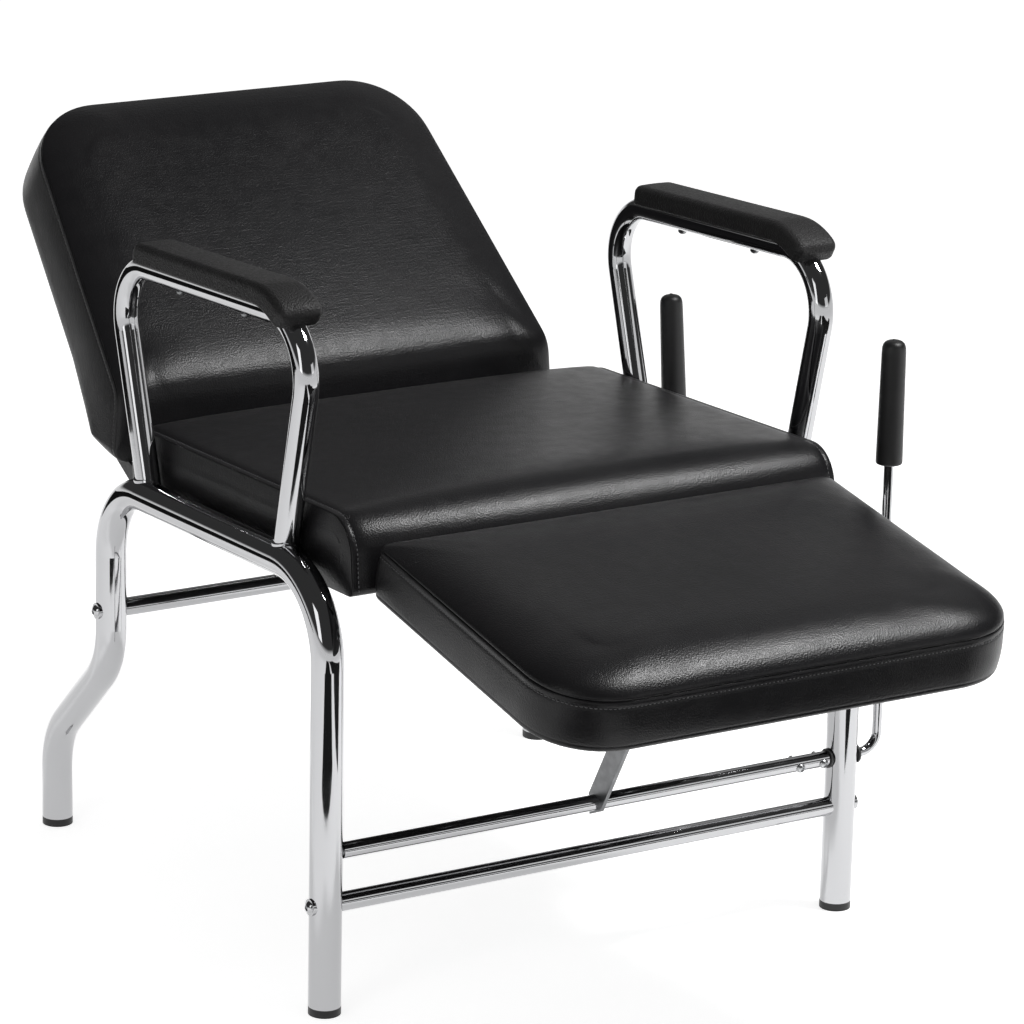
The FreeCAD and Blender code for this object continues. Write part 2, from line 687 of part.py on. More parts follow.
# Backrest
def back_screw_groups():
    """Screw places on the backrest's rear face for the hinge arms and the link arm, as x and v."""
    inner = FLANGE_WIDTH / 2
    hinge = []
    for side in (1, -1):
        hinge += pair_along(side * (back_arm_x + PLATE / 2 - inner), 0, BACK_HINGE_LENGTH)
    link = pair_along(RECLINE_CRANK_X + RECLINE_CRANK_PLATE / 2 + inner, 0, RECLINE_ARM_LENGTH)
    return {"hinge": hinge, "link": link}


def back_spots(group):
    return board_screw_spots(back_at, BACK_THICK + REAR_PANEL + PLATE, back_screw_groups()[group])


def back_holes(group):
    return screw_holes(back_spots(group), -back_out, PLATE + REAR_PANEL)


def back_profile():
    """Side outline: front face, lower face that hangs down, underside that rises rearwards, back, top."""
    face_end = (-BACK_FACE_DROP * math.cos(recline), BACK_FACE_DROP * math.sin(recline))
    underside = recline + math.radians(BACK_UNDERSIDE_RISE)
    heel = (face_end[0] + (BACK_THICK - face_end[1]) * math.tan(underside), BACK_THICK)
    return [(BACK_LENGTH, 0), (0, 0), face_end, heel, (BACK_LENGTH, BACK_THICK)]


def back_plan(skin, low_v):
    low = back_low_half - BACK_TAPER / BACK_LENGTH * low_v
    top = back_top_half
    corners = [(-low, low_v), (low, low_v), (top, BACK_LENGTH), (-top, BACK_LENGTH)]
    return inset(corners, [0, skin, skin, skin])


def back_envelope(skin, back):
    profile = inset(back_profile(), [skin, skin, skin, back, skin])
    radii = [BACK_TOP_ROUND - skin, BACK_KNEE_ROUND - skin, BACK_LOW_ROUND - skin, 0, 0]
    side = side_solid(back_at, profile, radii, 2 * back_low_half)
    corner = BACK_CORNER - skin
    outline = back_plan(skin, -BACK_FACE_DROP)
    return side.common(plan_solid(back_at, outline, [0, 0, corner, corner], -BACK_THICK, 2 * BACK_THICK))


def make_backrest():
    outer = back_envelope(0, 0)
    save("backrest_cover", outer.cut(back_envelope(COVER, -COVER)))
    lining = COVER + SOFT_GAP
    save("backrest_foam", back_envelope(lining, BACK_BOARD + SOFT_GAP))
    edge = lining + BOARD_INSET
    heel = back_profile()[3][0]
    corner = BACK_CORNER - edge
    board_plan = back_plan(edge, heel + edge)
    board = plan_solid(back_at, board_plan, [0, 0, corner, corner], BACK_THICK - BACK_BOARD, BACK_THICK)
    panel_plan = back_plan(REAR_PANEL_INSET, heel + REAR_PANEL_INSET)
    panel_radii = [0, 0] + [BACK_CORNER - REAR_PANEL_INSET] * 2
    panel = plan_solid(back_at, panel_plan, panel_radii, BACK_THICK, BACK_THICK + REAR_PANEL)
    screws = []
    for group in back_screw_groups():
        board = board.cut(back_holes(group))
        panel = panel.cut(back_holes(group))
        screws += board_screws(back_spots(group), -back_out, PLATE + REAR_PANEL)
    save("backrest_board", board)
    save("backrest_rear_panel", panel)
    save("backrest_screws", *screws)


def back_arm(x, thickness, length, pivot, end, side):
    """Angle on the backrest's rear face: flange on one side of a plate that reaches down to a pivot."""
    seat_face = BACK_THICK + REAR_PANEL
    deep = seat_face + BACK_HINGE_DEPTH
    heel = back_profile()[3][0]
    outline = [(0, deep), (length, deep), (length, seat_face), (heel, seat_face)]
    plate = arm_plate([back_at(0, v, n) for v, n in outline], pivot, end, -1, x, thickness)
    flange_x = x if side > 0 else x + thickness - FLANGE_WIDTH
    flange = slab(back_at, flange_x, flange_x + FLANGE_WIDTH, 0, length, seat_face, seat_face + PLATE)
    return plate.fuse(flange).removeSplitter()


def make_back_hinges():
    arm = back_arm(back_arm_x, PLATE, BACK_HINGE_LENGTH, back_pivot, BACK_HINGE_END, -1)
    span = back_arm_x + 2 * PLATE
    bore = rod_hole(back_pivot, -span, span, BACK_PIN_D)
    corners = [seat_at(0, seat_hinge_end_y, -PLATE), seat_at(0, seat_hinge_start_y, -PLATE)]
    bracket = arm_plate(corners, back_pivot, SEAT_HINGE_END, -1, seat_hinge_x, PLATE)
    flange = slab(seat_at, seat_hinge_x + PLATE - FLANGE_WIDTH, seat_hinge_x + PLATE, seat_hinge_start_y,
                  seat_hinge_end_y, -PLATE, 0)
    bracket = bracket.fuse(flange).removeSplitter()
    nut_x = seat_hinge_x - BACK_NUT
    head_x = back_arm_x + PLATE + SIDE_GAP
    bolt = hex_screw(at_x(back_pivot, head_x), -X_AXIS, BACK_PIN_D, head_x - nut_x + PIN_HEAD,
                     BACK_PIN_D + 2 * PIN_HEAD_RIM, PIN_HEAD)
    nut = aligned(hexagon(BACK_PIN_D + 2 * PIN_HEAD_RIM, BACK_NUT), at_x(back_pivot, nut_x), X_AXIS).cut(bore)
    for side, turn in (("right", lambda shape: shape), ("left", mirrored)):
        save(f"{side}_backrest_hinge_arm", turn(arm).cut(bore).cut(back_holes("hinge")))
        save(f"{side}_recline_hinge_bracket", turn(bracket).cut(bore).cut(seat_holes("hinge")))
    save("recline_pivot_bolts", *both_sides(bolt))
    save("recline_pivot_nuts", *both_sides(nut))


# Leg rest
def leg_screw_groups():
    """Screw places under the leg rest's board, as x and a."""
    hinge = []
    for side in (1, -1):
        hinge += pair_along(side * (leg_arm_x + FLANGE_WIDTH / 2), LEG_HINGE_SETBACK, LEG_HINGE_LENGTH)
    start, end = cam_reach()
    guide = []
    for side in (1, -1):
        guide += pair_along(side * (LEG_CAM_WIDTH / 2 + LEG_CAM_FLANGE / 2), start, end - start)
    return {"hinge": hinge, "guide": guide}


def leg_plate(group):
    return {"hinge": PLATE, "guide": LEG_CAM_PLATE}[group]


def leg_spots(group):
    return board_screw_spots(leg_at, LEGREST_THICK + leg_plate(group), leg_screw_groups()[group])


def leg_holes(group):
    return screw_holes(leg_spots(group), -leg_down, leg_plate(group))


def leg_plan(skin):
    half = legrest_half
    return inset([(-half, 0), (half, 0), (half, LEGREST_LENGTH), (-half, LEGREST_LENGTH)], [skin] * 4)


def leg_slab(skin, top, bottom):
    radii = [LEGREST_REAR_CORNER - skin] * 2 + [LEGREST_FRONT_CORNER - skin] * 2
    return plan_solid(leg_at, leg_plan(skin), radii, top, bottom)


def make_legrest():
    outer = leg_slab(0, 0, LEGREST_THICK)
    save("legrest_cover", outer.cut(leg_slab(COVER, COVER, LEGREST_THICK + COVER)))
    lining = COVER + SOFT_GAP
    save("legrest_foam", leg_slab(lining, lining, LEGREST_THICK - LEGREST_BOARD - SOFT_GAP))
    board = leg_slab(lining + BOARD_INSET, LEGREST_THICK - LEGREST_BOARD, LEGREST_THICK)
    screws = []
    for group in leg_screw_groups():
        board = board.cut(leg_holes(group))
        screws += board_screws(leg_spots(group), -leg_down, leg_plate(group))
    save("legrest_board", board)
    save("legrest_screws", *screws)


def make_leg_hinges():
    top = LEGREST_THICK + PLATE
    ahead = LEG_HINGE_SETBACK + LEG_HINGE_LENGTH
    corners = [leg_at(0, LEG_HINGE_SETBACK, top), leg_at(0, ahead, top)]
    arm = arm_plate(corners, leg_pivot, LEG_HINGE_END, -1, leg_arm_x, PLATE)
    flange = slab(leg_at, leg_arm_x, leg_arm_x + FLANGE_WIDTH, LEG_HINGE_SETBACK, ahead, LEGREST_THICK, top)
    arm = arm.fuse(flange).removeSplitter()
    corners = [seat_at(0, leg_hinge_start_y, -PLATE), seat_at(0, leg_hinge_end_y, -PLATE)]
    bracket = arm_plate(corners, leg_pivot, LEG_HINGE_END, 1, seat_leg_hinge_x, PLATE)
    flange = slab(seat_at, seat_leg_hinge_x + PLATE - FLANGE_WIDTH, seat_leg_hinge_x + PLATE,
                  leg_hinge_start_y, leg_hinge_end_y, -PLATE, 0)
    bracket = bracket.fuse(flange).removeSplitter()
    bore = rod_hole(leg_pivot, -legrest_half, legrest_half, LEG_PIN_D)
    for side, turn in (("right", lambda shape: shape), ("left", mirrored)):
        save(f"{side}_legrest_hinge_arm", turn(arm).cut(bore).cut(leg_holes("hinge")))
        save(f"{side}_legrest_hinge_bracket", turn(bracket).cut(bore).cut(seat_holes("leg_hinge")))
    hinge_pin = pin(leg_pivot, seat_leg_hinge_x, leg_arm_x + PLATE + SIDE_GAP, LEG_PIN_D)
    save("legrest_hinge_pins", *both_sides(hinge_pin))


# Cam guide: its slot is the crank pin's path seen from the leg rest, at one ratio of lever turn to swing.
# The pin is in the deep end while the leg rest is up, and runs towards the hinge as it drops.
cam_rim = LEG_CAM_PIN_D / 2 + LEG_CAM_MARGIN


def cam_point(share):
    """Place of the crank pin in the raised leg rest, as a and d, after a share of the travel."""
    swing = LEG_CAM_TRAVEL * share
    reach = leg_crank_end(LEG_CAM_RATIO * swing) - leg_pivot
    turn = math.radians(-swing)
    spot = leg_pivot + point(0, reach.y * math.cos(turn) - reach.z * math.sin(turn),
                             reach.y * math.sin(turn) + reach.z * math.cos(turn))
    away = spot - leg_at(0, 0, 0)
    along = leg_at(0, 1, 0) - leg_at(0, 0, 0)
    return away.dot(along), away.dot(leg_down)


def cam_normal(share):
    step = 0.001
    a0, d0 = cam_point(share - step)
    a1, d1 = cam_point(share + step)
    length = math.dist((a0, d0), (a1, d1))
    return -(d1 - d0) / length, (a1 - a0) / length


def cam_curve(offset, x):
    """Smooth curve beside the pin's path, at this offset."""
    count = 9
    shares = [i / (count - 1) for i in range(count)]
    spots = []
    for share in shares:
        a, d = cam_point(share)
        na, nd = cam_normal(share)
        spots.append(leg_at(x, a + na * offset, d + nd * offset))
    curve = Part.BSplineCurve()
    curve.interpolate(spots)
    return curve.toShape(), spots[0], spots[-1]


def cam_end(share, way, radius, x):
    """Point at the round end of the slot."""
    a, d = cam_point(share)
    na, nd = cam_normal(share)
    return leg_at(x, a + way * nd * radius, d - way * na * radius)


def cam_reach():
    """Ends of the guide, as a."""
    return cam_point(1)[0] - cam_rim, cam_point(0)[0] + cam_rim


def cam_slot(x, thickness):
    half = LEG_CAM_PIN_D / 2 + CAM_GAP
    low, low_start, low_end = cam_curve(half, x)
    high, high_start, high_end = cam_curve(-half, x)
    edges = [
        low,
        Part.Arc(low_end, cam_end(1, 1, half, x), high_end).toShape(),
        high,
        Part.Arc(high_start, cam_end(0, -1, half, x), low_start).toShape(),
    ]
    return Part.Face(Part.Wire(Part.__sortEdges__(edges))).extrude(X_AXIS * thickness)


def cam_cheek(x, thickness):
    """Side of the guide, with the slot in it."""
    start, end = cam_reach()
    up_a, up_d = cam_point(0)
    down_d = cam_point(1)[1]
    low = up_d + cam_rim
    corners = [(start, LEGREST_THICK), (end, LEGREST_THICK), (end, low), (up_a - cam_rim, low),
               (start, down_d + cam_rim)]
    radii = [0, 0, LEG_CAM_ROUND, LEG_CAM_ROUND, LEG_CAM_ROUND]
    cheek = face([leg_at(x, a, d) for a, d in corners], radii).extrude(X_AXIS * thickness)
    return cheek.cut(cam_slot(x, thickness))


def make_cam_guide():
    start, end = cam_reach()
    half = LEG_CAM_WIDTH / 2
    flange = half + LEG_CAM_FLANGE
    guide = slab(leg_at, -flange, flange, start, end, LEGREST_THICK, LEGREST_THICK + LEG_CAM_PLATE)
    guide = guide.fuse(cam_cheek(-half, LEG_CAM_PLATE)).fuse(cam_cheek(half - LEG_CAM_PLATE, LEG_CAM_PLATE))
    save("legrest_cam_guide", guide.removeSplitter().cut(leg_holes("guide")))
    cam_pin = pin(leg_crank_end(0), -half - SIDE_GAP, half + SIDE_GAP, LEG_CAM_PIN_D)
    save("legrest_cam_pin", cam_pin)


def make_leg_crank():
    """Flat bar with a pointed foot, welded on the leg rest's torque tube."""
    end = leg_crank_end(0)
    way = (end - leg_shaft).normalize()
    side = point(0, -way.z, way.y) * (LEG_CRANK_WIDTH / 2)
    x = LEG_CRANK_X - PLATE / 2
    tip = leg_shaft - way * LEG_CRANK_TIP
    outline = [tip, leg_shaft + side, end + side, end - side, leg_shaft - side]
    crank = face([at_x(p, x) for p in outline]).extrude(X_AXIS * PLATE)
    crank = crank.fuse(disc_plate(end, LEG_CRANK_WIDTH / 2, x, PLATE)).removeSplitter()
    holes = rod_hole(leg_shaft, x, x + PLATE, TORQUE_D).fuse(rod_hole(end, x, x + PLATE, LEG_CAM_PIN_D))
    save("legrest_crank", crank.cut(holes))


# Levers
def clamp_screws(shaft, tube_end_x):
    """Screws that clamp a lever rod in the end of its tube, and their holes."""
    tilt = math.radians(CLAMP_SCREW_TILT)
    way = point(0, math.cos(tilt), math.sin(tilt))
    screws = []
    holes = []
    for i in range(2):
        x = tube_end_x - CLAMP_SCREW_FROM_END - i * CLAMP_SCREW_PITCH
        spot = at_x(shaft, x) - way * (TORQUE_D / 2)
        length = TORQUE_D + CLAMP_SCREW_TAIL
        screws.append(dome_screw(spot, way, CLAMP_SCREW_D, length, CLAMP_SCREW_HEAD_D, CLAMP_SCREW_HEAD))
        holes.append(cylinder(spot - way, way, length, CLAMP_SCREW_D + 2 * FIT))
    return screws, Part.makeCompound(holes)


def make_lever(name, shaft, tube_x0, tube_x1, lean, height):
    """Torque tube, bent lever rod, grip and clamp screws of one lever."""
    screws, holes = clamp_screws(shaft, tube_x1)
    tube = cross_cylinder(shaft, tube_x0, tube_x1, TORQUE_D)
    tube = tube.cut(cross_cylinder(shaft, tube_x0, tube_x1, TORQUE_D - 2 * TORQUE_WALL)).cut(holes)
    way = point(0, math.sin(lean), math.cos(lean))
    corner = at_x(shaft, lever_x)
    rod_top = corner + way * (height - LEVER_GRIP_END)
    rod = round_bar([at_x(shaft, tube_x1 - ROD_IN_TUBE), corner, rod_top], LEVER_BEND, rod_d).cut(holes)
    foot = corner + way * (height - LEVER_GRIP_LENGTH)
    dome = LEVER_GRIP_TOP_D / 2
    body = Part.makeCone(LEVER_GRIP_LOW_D / 2, dome, LEVER_GRIP_LENGTH - dome, foot, way)
    grip = body.fuse(Part.makeSphere(dome, foot + way * (LEVER_GRIP_LENGTH - dome)))
    grip = grip.removeSplitter().cut(cylinder(foot, way, LEVER_GRIP_LENGTH - LEVER_GRIP_END, rod_d + 2 * FIT))
    save(f"{name}_torque_tube", tube)
    save(f"{name}_lever_rod", rod)
    save(f"{name}_lever_grip", grip)
    save(f"{name}_lever_screws", *screws)


def make_leg_lever():
    bush_x = leg_inner_x - BUSH_FLANGE
    make_lever("legrest", leg_shaft, -leg_inner_x + SIDE_GAP, bush_x - SIDE_GAP, 0, LEG_LEVER_HEIGHT)
    stub = cross_cylinder(leg_shaft, -leg_inner_x - TUBE_WALL, -leg_inner_x + CROSS_INSERT, rod_d)
    save("legrest_tube_stub", stub)
    bore = rod_d + 2 * FIT
    barrel = cross_cylinder(leg_shaft, bush_x, leg_inner_x + 2 * TUBE_WALL, bore + 2 * BUSH_WALL)
    bush = barrel.fuse(cross_cylinder(leg_shaft, bush_x, leg_inner_x, BUSH_FLANGE_D)).removeSplitter()
    bush = bush.cut(cross_cylinder(leg_shaft, bush_x, frame_x, bore))
    outer_bush = bush.mirror(at_x(leg_shaft, frame_x), X_AXIS)
    save("legrest_lever_bushes", bush, outer_bush)


def make_recline_lever():
    make_lever("recline", recline_shaft, RECLINE_TUBE_LEFT_X, recline_tube_right_x,
               math.radians(RECLINE_LEVER_LEAN), RECLINE_LEVER_HEIGHT)
    crank_end = recline_shaft + recline_crank
    arm_end = back_pivot + recline_crank
    x = RECLINE_CRANK_X
    link_x = x + RECLINE_CRANK_PLATE + RECLINE_LINK_GAP
    pin_end = link_x + RECLINE_CRANK_PLATE + SIDE_GAP
    pin_holes = rod_hole(crank_end, x, pin_end, RECLINE_PIN_D)
    pin_holes = pin_holes.fuse(rod_hole(arm_end, x, pin_end, RECLINE_PIN_D))
    crank = flat_bar(recline_shaft, crank_end, RECLINE_CRANK_END, x, RECLINE_CRANK_PLATE)
    save("recline_crank", crank.cut(pin_holes).cut(rod_hole(recline_shaft, x, pin_end, TORQUE_D)))
    link = flat_bar(crank_end, arm_end, RECLINE_LINK_END, link_x, RECLINE_CRANK_PLATE)
    save("recline_link", link.cut(pin_holes))
    arm = back_arm(x, RECLINE_CRANK_PLATE, RECLINE_ARM_LENGTH, arm_end, RECLINE_CRANK_END, 1)
    save("backrest_link_arm", arm.cut(pin_holes).cut(back_holes("link")))
    save("recline_crank_pin", pin(crank_end, x, pin_end, RECLINE_PIN_D))
    save("backrest_link_pin", pin(arm_end, x, pin_end, RECLINE_PIN_D))


def make_recline_bearings():
    for side, x in zip(("left", "right"), bearing_xs):
        end_y = bearing_start_y + BEARING_LENGTH
        corners = [seat_at(0, end_y, -PLATE), seat_at(0, bearing_start_y, -PLATE)]
        bearing = arm_plate(corners, recline_shaft, BEARING_END, -1, x, PLATE)
        flange = slab(seat_at, x, x + FLANGE_WIDTH, bearing_start_y, end_y, -PLATE, 0)
        bearing = bearing.fuse(flange).removeSplitter().cut(rod_hole(recline_shaft, x, x + PLATE, TORQUE_D))
        save(f"recline_bearing_{side}", bearing.cut(seat_holes("bearing")))


os.makedirs("parts", exist_ok=True)
make_side_frames()
make_foot_caps()
make_arms()
make_cross_tubes()
make_seat()
make_seat_brackets()
make_backrest()
make_back_hinges()
make_legrest()
make_leg_hinges()
make_cam_guide()
make_leg_crank()
make_leg_lever()
make_recline_lever()
make_recline_bearings()
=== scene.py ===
import json
import math

import bpy
import numpy as np
from mathutils import Matrix, Vector


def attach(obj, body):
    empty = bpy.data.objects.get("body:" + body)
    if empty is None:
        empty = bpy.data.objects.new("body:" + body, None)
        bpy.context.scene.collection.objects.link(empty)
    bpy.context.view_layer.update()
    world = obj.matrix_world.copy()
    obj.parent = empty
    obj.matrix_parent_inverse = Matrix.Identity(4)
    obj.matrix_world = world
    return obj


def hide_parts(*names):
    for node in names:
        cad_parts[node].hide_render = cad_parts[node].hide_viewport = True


# Looks of the shampoo chair: upholstery, pads, grips, finishes, studio and camera.
# Shapes are worked out in millimetres and placed in metres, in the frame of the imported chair.
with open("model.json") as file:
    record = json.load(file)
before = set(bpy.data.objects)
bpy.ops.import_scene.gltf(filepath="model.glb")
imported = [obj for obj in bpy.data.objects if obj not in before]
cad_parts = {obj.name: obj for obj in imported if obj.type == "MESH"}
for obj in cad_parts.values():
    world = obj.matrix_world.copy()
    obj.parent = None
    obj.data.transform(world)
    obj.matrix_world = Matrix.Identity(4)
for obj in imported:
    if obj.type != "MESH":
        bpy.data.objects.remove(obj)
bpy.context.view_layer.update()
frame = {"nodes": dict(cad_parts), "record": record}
MM = 0.001

# Seat: places in y along it and w up from its underside
SEAT_TILT = math.atan2(22.5, 458.0)
SEAT_ORIGIN = (0.0, 401.03)
SEAT_HALF = 274.0
SEAT_FRONT_Y = -300.0
SEAT_REAR_Y = 160.0
SEAT_THICK = 76.0
SEAT_ROUNDS = (8.0, 8.0, 40.0, 29.0)
SEAT_UNDERSIDE = -0.6
SEAT_SEAM_DROP = 2.2
SEAT_CROWN = 7.0
SEAT_CROWN_SHARES = (0.45, 0.55)
SEAT_SHOULDER = 44.0
SEAT_SIDE_PUFF = 2.4
SEAT_SIDE_BULGE = 1.2
SEAT_PANEL = 16.0
SEAT_PANEL_ROUND = 20.0
SEAT_TOP_INSET = 14.0
SEAT_FADE = 30.0
SEAT_FRONT_START = -200.0
SEAT_FRONT_REACH = 100.0
SEAT_PITCH = 10.0
SEAT_SIDE_STEPS = (44, 6, 44, 6)
SEAT_CORNER_STEPS = 12
SEAT_STITCHED_ABOVE = 4.0

# Backrest: v up its front face from the lower bend, n into the cushion
BACK_RECLINE = math.radians(49.5)
BACK_ORIGIN = (217.45, 484.04)
BACK_LENGTH = 373.0
BACK_THICK = 84.0
BACK_DROP = 75.0
BACK_UNDERSIDE_RISE = math.radians(14.0)
BACK_KNEE_ROUND = 35.0
BACK_TOP_HALF = 226.5
BACK_LOW_HALF = 263.0
BACK_ROUNDS = (14.0, 14.0, 82.0, 82.0)
BACK_FACE_ROUND = 60.0
BACK_ROLL = 40.0
BACK_SEAM_DROP = 8.0
BACK_PROUD = 2.0
BACK_CROWN = 1.5
BACK_STRAIGHT_SHARE = 0.6
BACK_SIDE_STEPS = (46, 40, 46, 40)
BACK_CORNER_STEPS = 14
BACK_HELD_ROWS = 5

# Leg rest: a forward from its rear edge, d down from its top
LEG_SLOPE = math.radians(9.5)
LEG_ORIGIN = (-311.64, 470.75)
LEG_HALF = 254.5
LEG_LENGTH = 346.0
LEG_ROUNDS = (10.0, 10.0, 68.0, 68.0)
LEG_TOP_ROUND = 26.0
LEG_ROLL = 60.0
LEG_SEAM_DEPTH = 5.0
LEG_PROUD_REAR = 9.0
LEG_PROUD_FRONT = 20.0
LEG_CROWN = 1.5
LEG_UNDERSIDE = 56.6
LEG_UNDERSIDE_INSET = 9.0
LEG_SIDE_STEPS = (50, 32, 50, 32)
LEG_CORNER_STEPS = 6
LEG_HELD_ROWS = 7

# Sewing
SEAM_LIP = 0.4
SEAM_DEPTH = 1.7
STITCH_OFFSET = 6.6
STITCH_PITCH = 4.4
STITCH_LENGTH = 3.2
STITCH_RADIUS = 0.56
STITCH_BURIED = 0.55
STITCH_END = 0.45
STITCH_SIDES = 6
STITCH_RINGS = 6
STITCH_ROW = 5
HELD_BEFORE_SEAM = 3
HELD_AFTER_SEAM = 7
PUFF_PRESSURE = 4.0
PUFF_FRAMES = 20
PUFF_LIMIT = 4.0
PUFF_EASING = 14
FLAT_UNDERSIDE = 0.97
UNDERSIDE_DEPTH = 2.0
# Rows of a rolled edge, as shares of its width, from the flat face to the seam
ROLL_SHARES = (1.0, 0.82, 0.65, 0.5, 0.36, 0.24, 0.14, 0.07, 0.028, 0.009, 0.002)

# Arms: centre line of an arm tube in y and z, and the pad's section across it
ARM_X = 291.0
ARM_REAR_TOP = (160.0, 645.0)
ARM_FRONT_TOP = (-251.5, 671.5)
ARM_FRONT_BASE = (-196.0, 429.7)
ARM_BEND = 58.0
PAD_REAR_Y = 80.0
PAD_WRAP = math.radians(42.0)
PAD_LOW = 9.0
PAD_HIGH = 28.8
PAD_HALF = 26.0
PAD_TOP_HALF = 23.5
PAD_ROUND = 8.0
PAD_LEAST_ROUND = 3.0
PAD_LOW_ROUND = 2.5
PAD_CROWN = 1.2
PAD_CROWN_START = 20.0
PAD_CROWN_REACH = 10.0
PAD_END_ROUND = 10.0
PAD_END_SHRINK = 0.8
PAD_STATIONS = 44
PAD_SIDE_STEPS = (10, 4, 10, 4)
PAD_CORNER_STEPS = 8

# Levers: tops of the grips in y and z
LEVER_X = 340.0
LEG_LEVER_TOP = (-294.0, 593.0)
RECLINE_LEVER_LEAN = math.radians(6.0)
RECLINE_LEVER_TOP = (112.5, 547.4)
GRIP_LENGTH = 128.0
GRIP_LOW_RADIUS = 13.5
GRIP_HIGH_RADIUS = 12.25
GRIP_LOW_END = 4
GRIP_DOME = 12
GRIP_STEPS = 8
GRIP_SIDES = 40

# Steel that shows less bright than the other plated pieces
DULL_NODES = ("legrest_crank", "arm_pad_screws")

# Camera, as found from the photo's perspective
CAMERA_AT = (-2.3438, -3.9923, 1.7788)
CAMERA_YAW = math.radians(-31.261)
CAMERA_PITCH = math.radians(16.776)
CAMERA_ROLL = math.radians(1.241)
CAMERA_LENS = 166.97
SENSOR = 36.0

# Studio, in metres and watts. The dark sheets over the pale floor show in the chair's gloss alone, as
# painted dark reflections where the camera sees the floor white. The first two are placed by how far they
# reach towards the camera, and across that line.
FLOOR_GLOW = 0.78
FLOOR_HALF = 40.0
FLOOR_Z = -0.0003
PAINTED_REFLECTION_Z = 0.002
CHAIR_MIDDLE = (0.0, -0.2, 0.45)
PAINTED_REFLECTION_AHEAD = (0.95, 3.9)
PAINTED_REFLECTION_ACROSS = (-0.45, 0.35)
RIGHT_PAINTED_REFLECTION_AHEAD = (0.5, 3.9)
RIGHT_PAINTED_REFLECTION_ACROSS = (0.58, 2.0)
REAR_PAINTED_REFLECTION = ((-8.0, 1.6), (-0.7, 14.0))
WORLD_LIGHT = 0.3
WORLD_GLOSS = ((0.03, 1.0), (0.12, 0.05))
# Place, width and length, and power of each lamp
LAMPS = {
    "key_softbox": ((1.06, -0.85, 2.35), (0.42, 0.5), 42),
    "front_strip": ((1.15, -2.0, 1.0), (1.3, 0.5), 2),
    "rear_softbox": ((1.3, 1.5, 2.1), (2.4, 1.2), 3),
    "rear_low_softbox": ((1.5, 2.2, 1.0), (2.0, 0.5), 2.0),
    "left_softbox": ((-2.6, -1.4, 1.5), (0.9, 1.6), 8),
}


def placer(origin, along, out):
    """Function from x, a distance along a face and a distance out of it to points of the chair."""
    origin, along, out = (np.array([0.0, *pair]) for pair in (origin, along, out))
    across = np.array([1.0, 0.0, 0.0])

    def place(x, a, b):
        x, a, b = (np.asarray(value, float)[..., None] for value in (x, a, b))
        return (origin + x * across + a * along + b * out) * MM
    return place


seat_at = placer(SEAT_ORIGIN, (math.cos(SEAT_TILT), -math.sin(SEAT_TILT)),
                 (math.sin(SEAT_TILT), math.cos(SEAT_TILT)))
back_at = placer(BACK_ORIGIN, (math.sin(BACK_RECLINE), math.cos(BACK_RECLINE)),
                 (math.cos(BACK_RECLINE), -math.sin(BACK_RECLINE)))
leg_at = placer(LEG_ORIGIN, (-math.cos(LEG_SLOPE), -math.sin(LEG_SLOPE)),
                (math.sin(LEG_SLOPE), -math.cos(LEG_SLOPE)))


# Materials
class Finish:
    """Node-based material with helpers for its textures."""

    def __init__(self, name, **values):
        self.material = bpy.data.materials.new(name)
        self.material.use_nodes = True
        self.nodes = self.material.node_tree.nodes
        self.links = self.material.node_tree.links
        self.shader = self.nodes["Principled BSDF"]
        for socket, value in values.items():
            self.shader.inputs[socket.replace("_", " ").title().replace("Ior", "IOR")].default_value = value
        self.place = self.nodes.new("ShaderNodeTexCoord").outputs["Object"]
        self.normal = None

    def node(self, kind, inputs=(), **settings):
        """New node, with each input linked to a socket or set to a value."""
        made = self.nodes.new(kind)
        for name, value in settings.items():
            setattr(made, name, value)
        for name, value in dict(inputs).items():
            if isinstance(value, bpy.types.NodeSocket):
                self.links.new(value, made.inputs[name])
            else:
                made.inputs[name].default_value = value
        return made

    def noise(self, scale, detail=3.0, stretch=(1, 1, 1), roughness=0.5, distortion=0.0):
        place = self.node("ShaderNodeMapping", {"Vector": self.place, "Scale": stretch})
        return self.node("ShaderNodeTexNoise", {
            "Vector": place.outputs["Vector"],
            "Scale": scale,
            "Detail": detail,
            "Roughness": roughness,
            "Distortion": distortion,
        }).outputs["Fac"]

    def cells(self, scale, feature="F1"):
        """Rounded cells, with their places shaken a little so that no rows show."""
        noise = self.node("ShaderNodeTexNoise", {"Vector": self.place, "Scale": scale / 6})
        shake = self.node("ShaderNodeVectorMath", {0: noise.outputs["Color"], "Scale": 0.4 / scale},
                          operation="SCALE")
        place = self.node("ShaderNodeVectorMath", {0: shake.outputs["Vector"], 1: self.place},
                          operation="ADD")
        return self.node("ShaderNodeTexVoronoi", {"Vector": place.outputs["Vector"], "Scale": scale},
                         feature=feature).outputs["Distance"]

    def spread(self, value, low, high, start=0.3, end=0.7):
        """The value, taken from start to end, as a value from low to high."""
        return self.node("ShaderNodeMapRange", {
            "Value": value, "From Min": start, "From Max": end, "To Min": low, "To Max": high,
        }).outputs["Result"]

    def colours(self, value, *stops):
        """Colour ramp over the value; each stop is a position and a colour."""
        ramp = self.node("ShaderNodeValToRGB", {"Fac": value})
        elements = ramp.color_ramp.elements
        while len(elements) < len(stops):
            elements.new(0.5)
        for element, (position, colour) in zip(elements, stops):
            element.position = position
            element.color = (*colour, 1)
        return ramp.outputs["Color"]

    def set(self, socket, value):
        self.links.new(value, self.shader.inputs[socket])
        return self

    def bump(self, height, depth, strength=1.0):
        """Adds relief of this depth, in metres, to what is there."""
        inputs = {"Height": height, "Distance": depth, "Strength": strength}
        if self.normal:
            inputs["Normal"] = self.normal
        self.normal = self.node("ShaderNodeBump", inputs).outputs["Normal"]
        return self.set("Normal", self.normal)


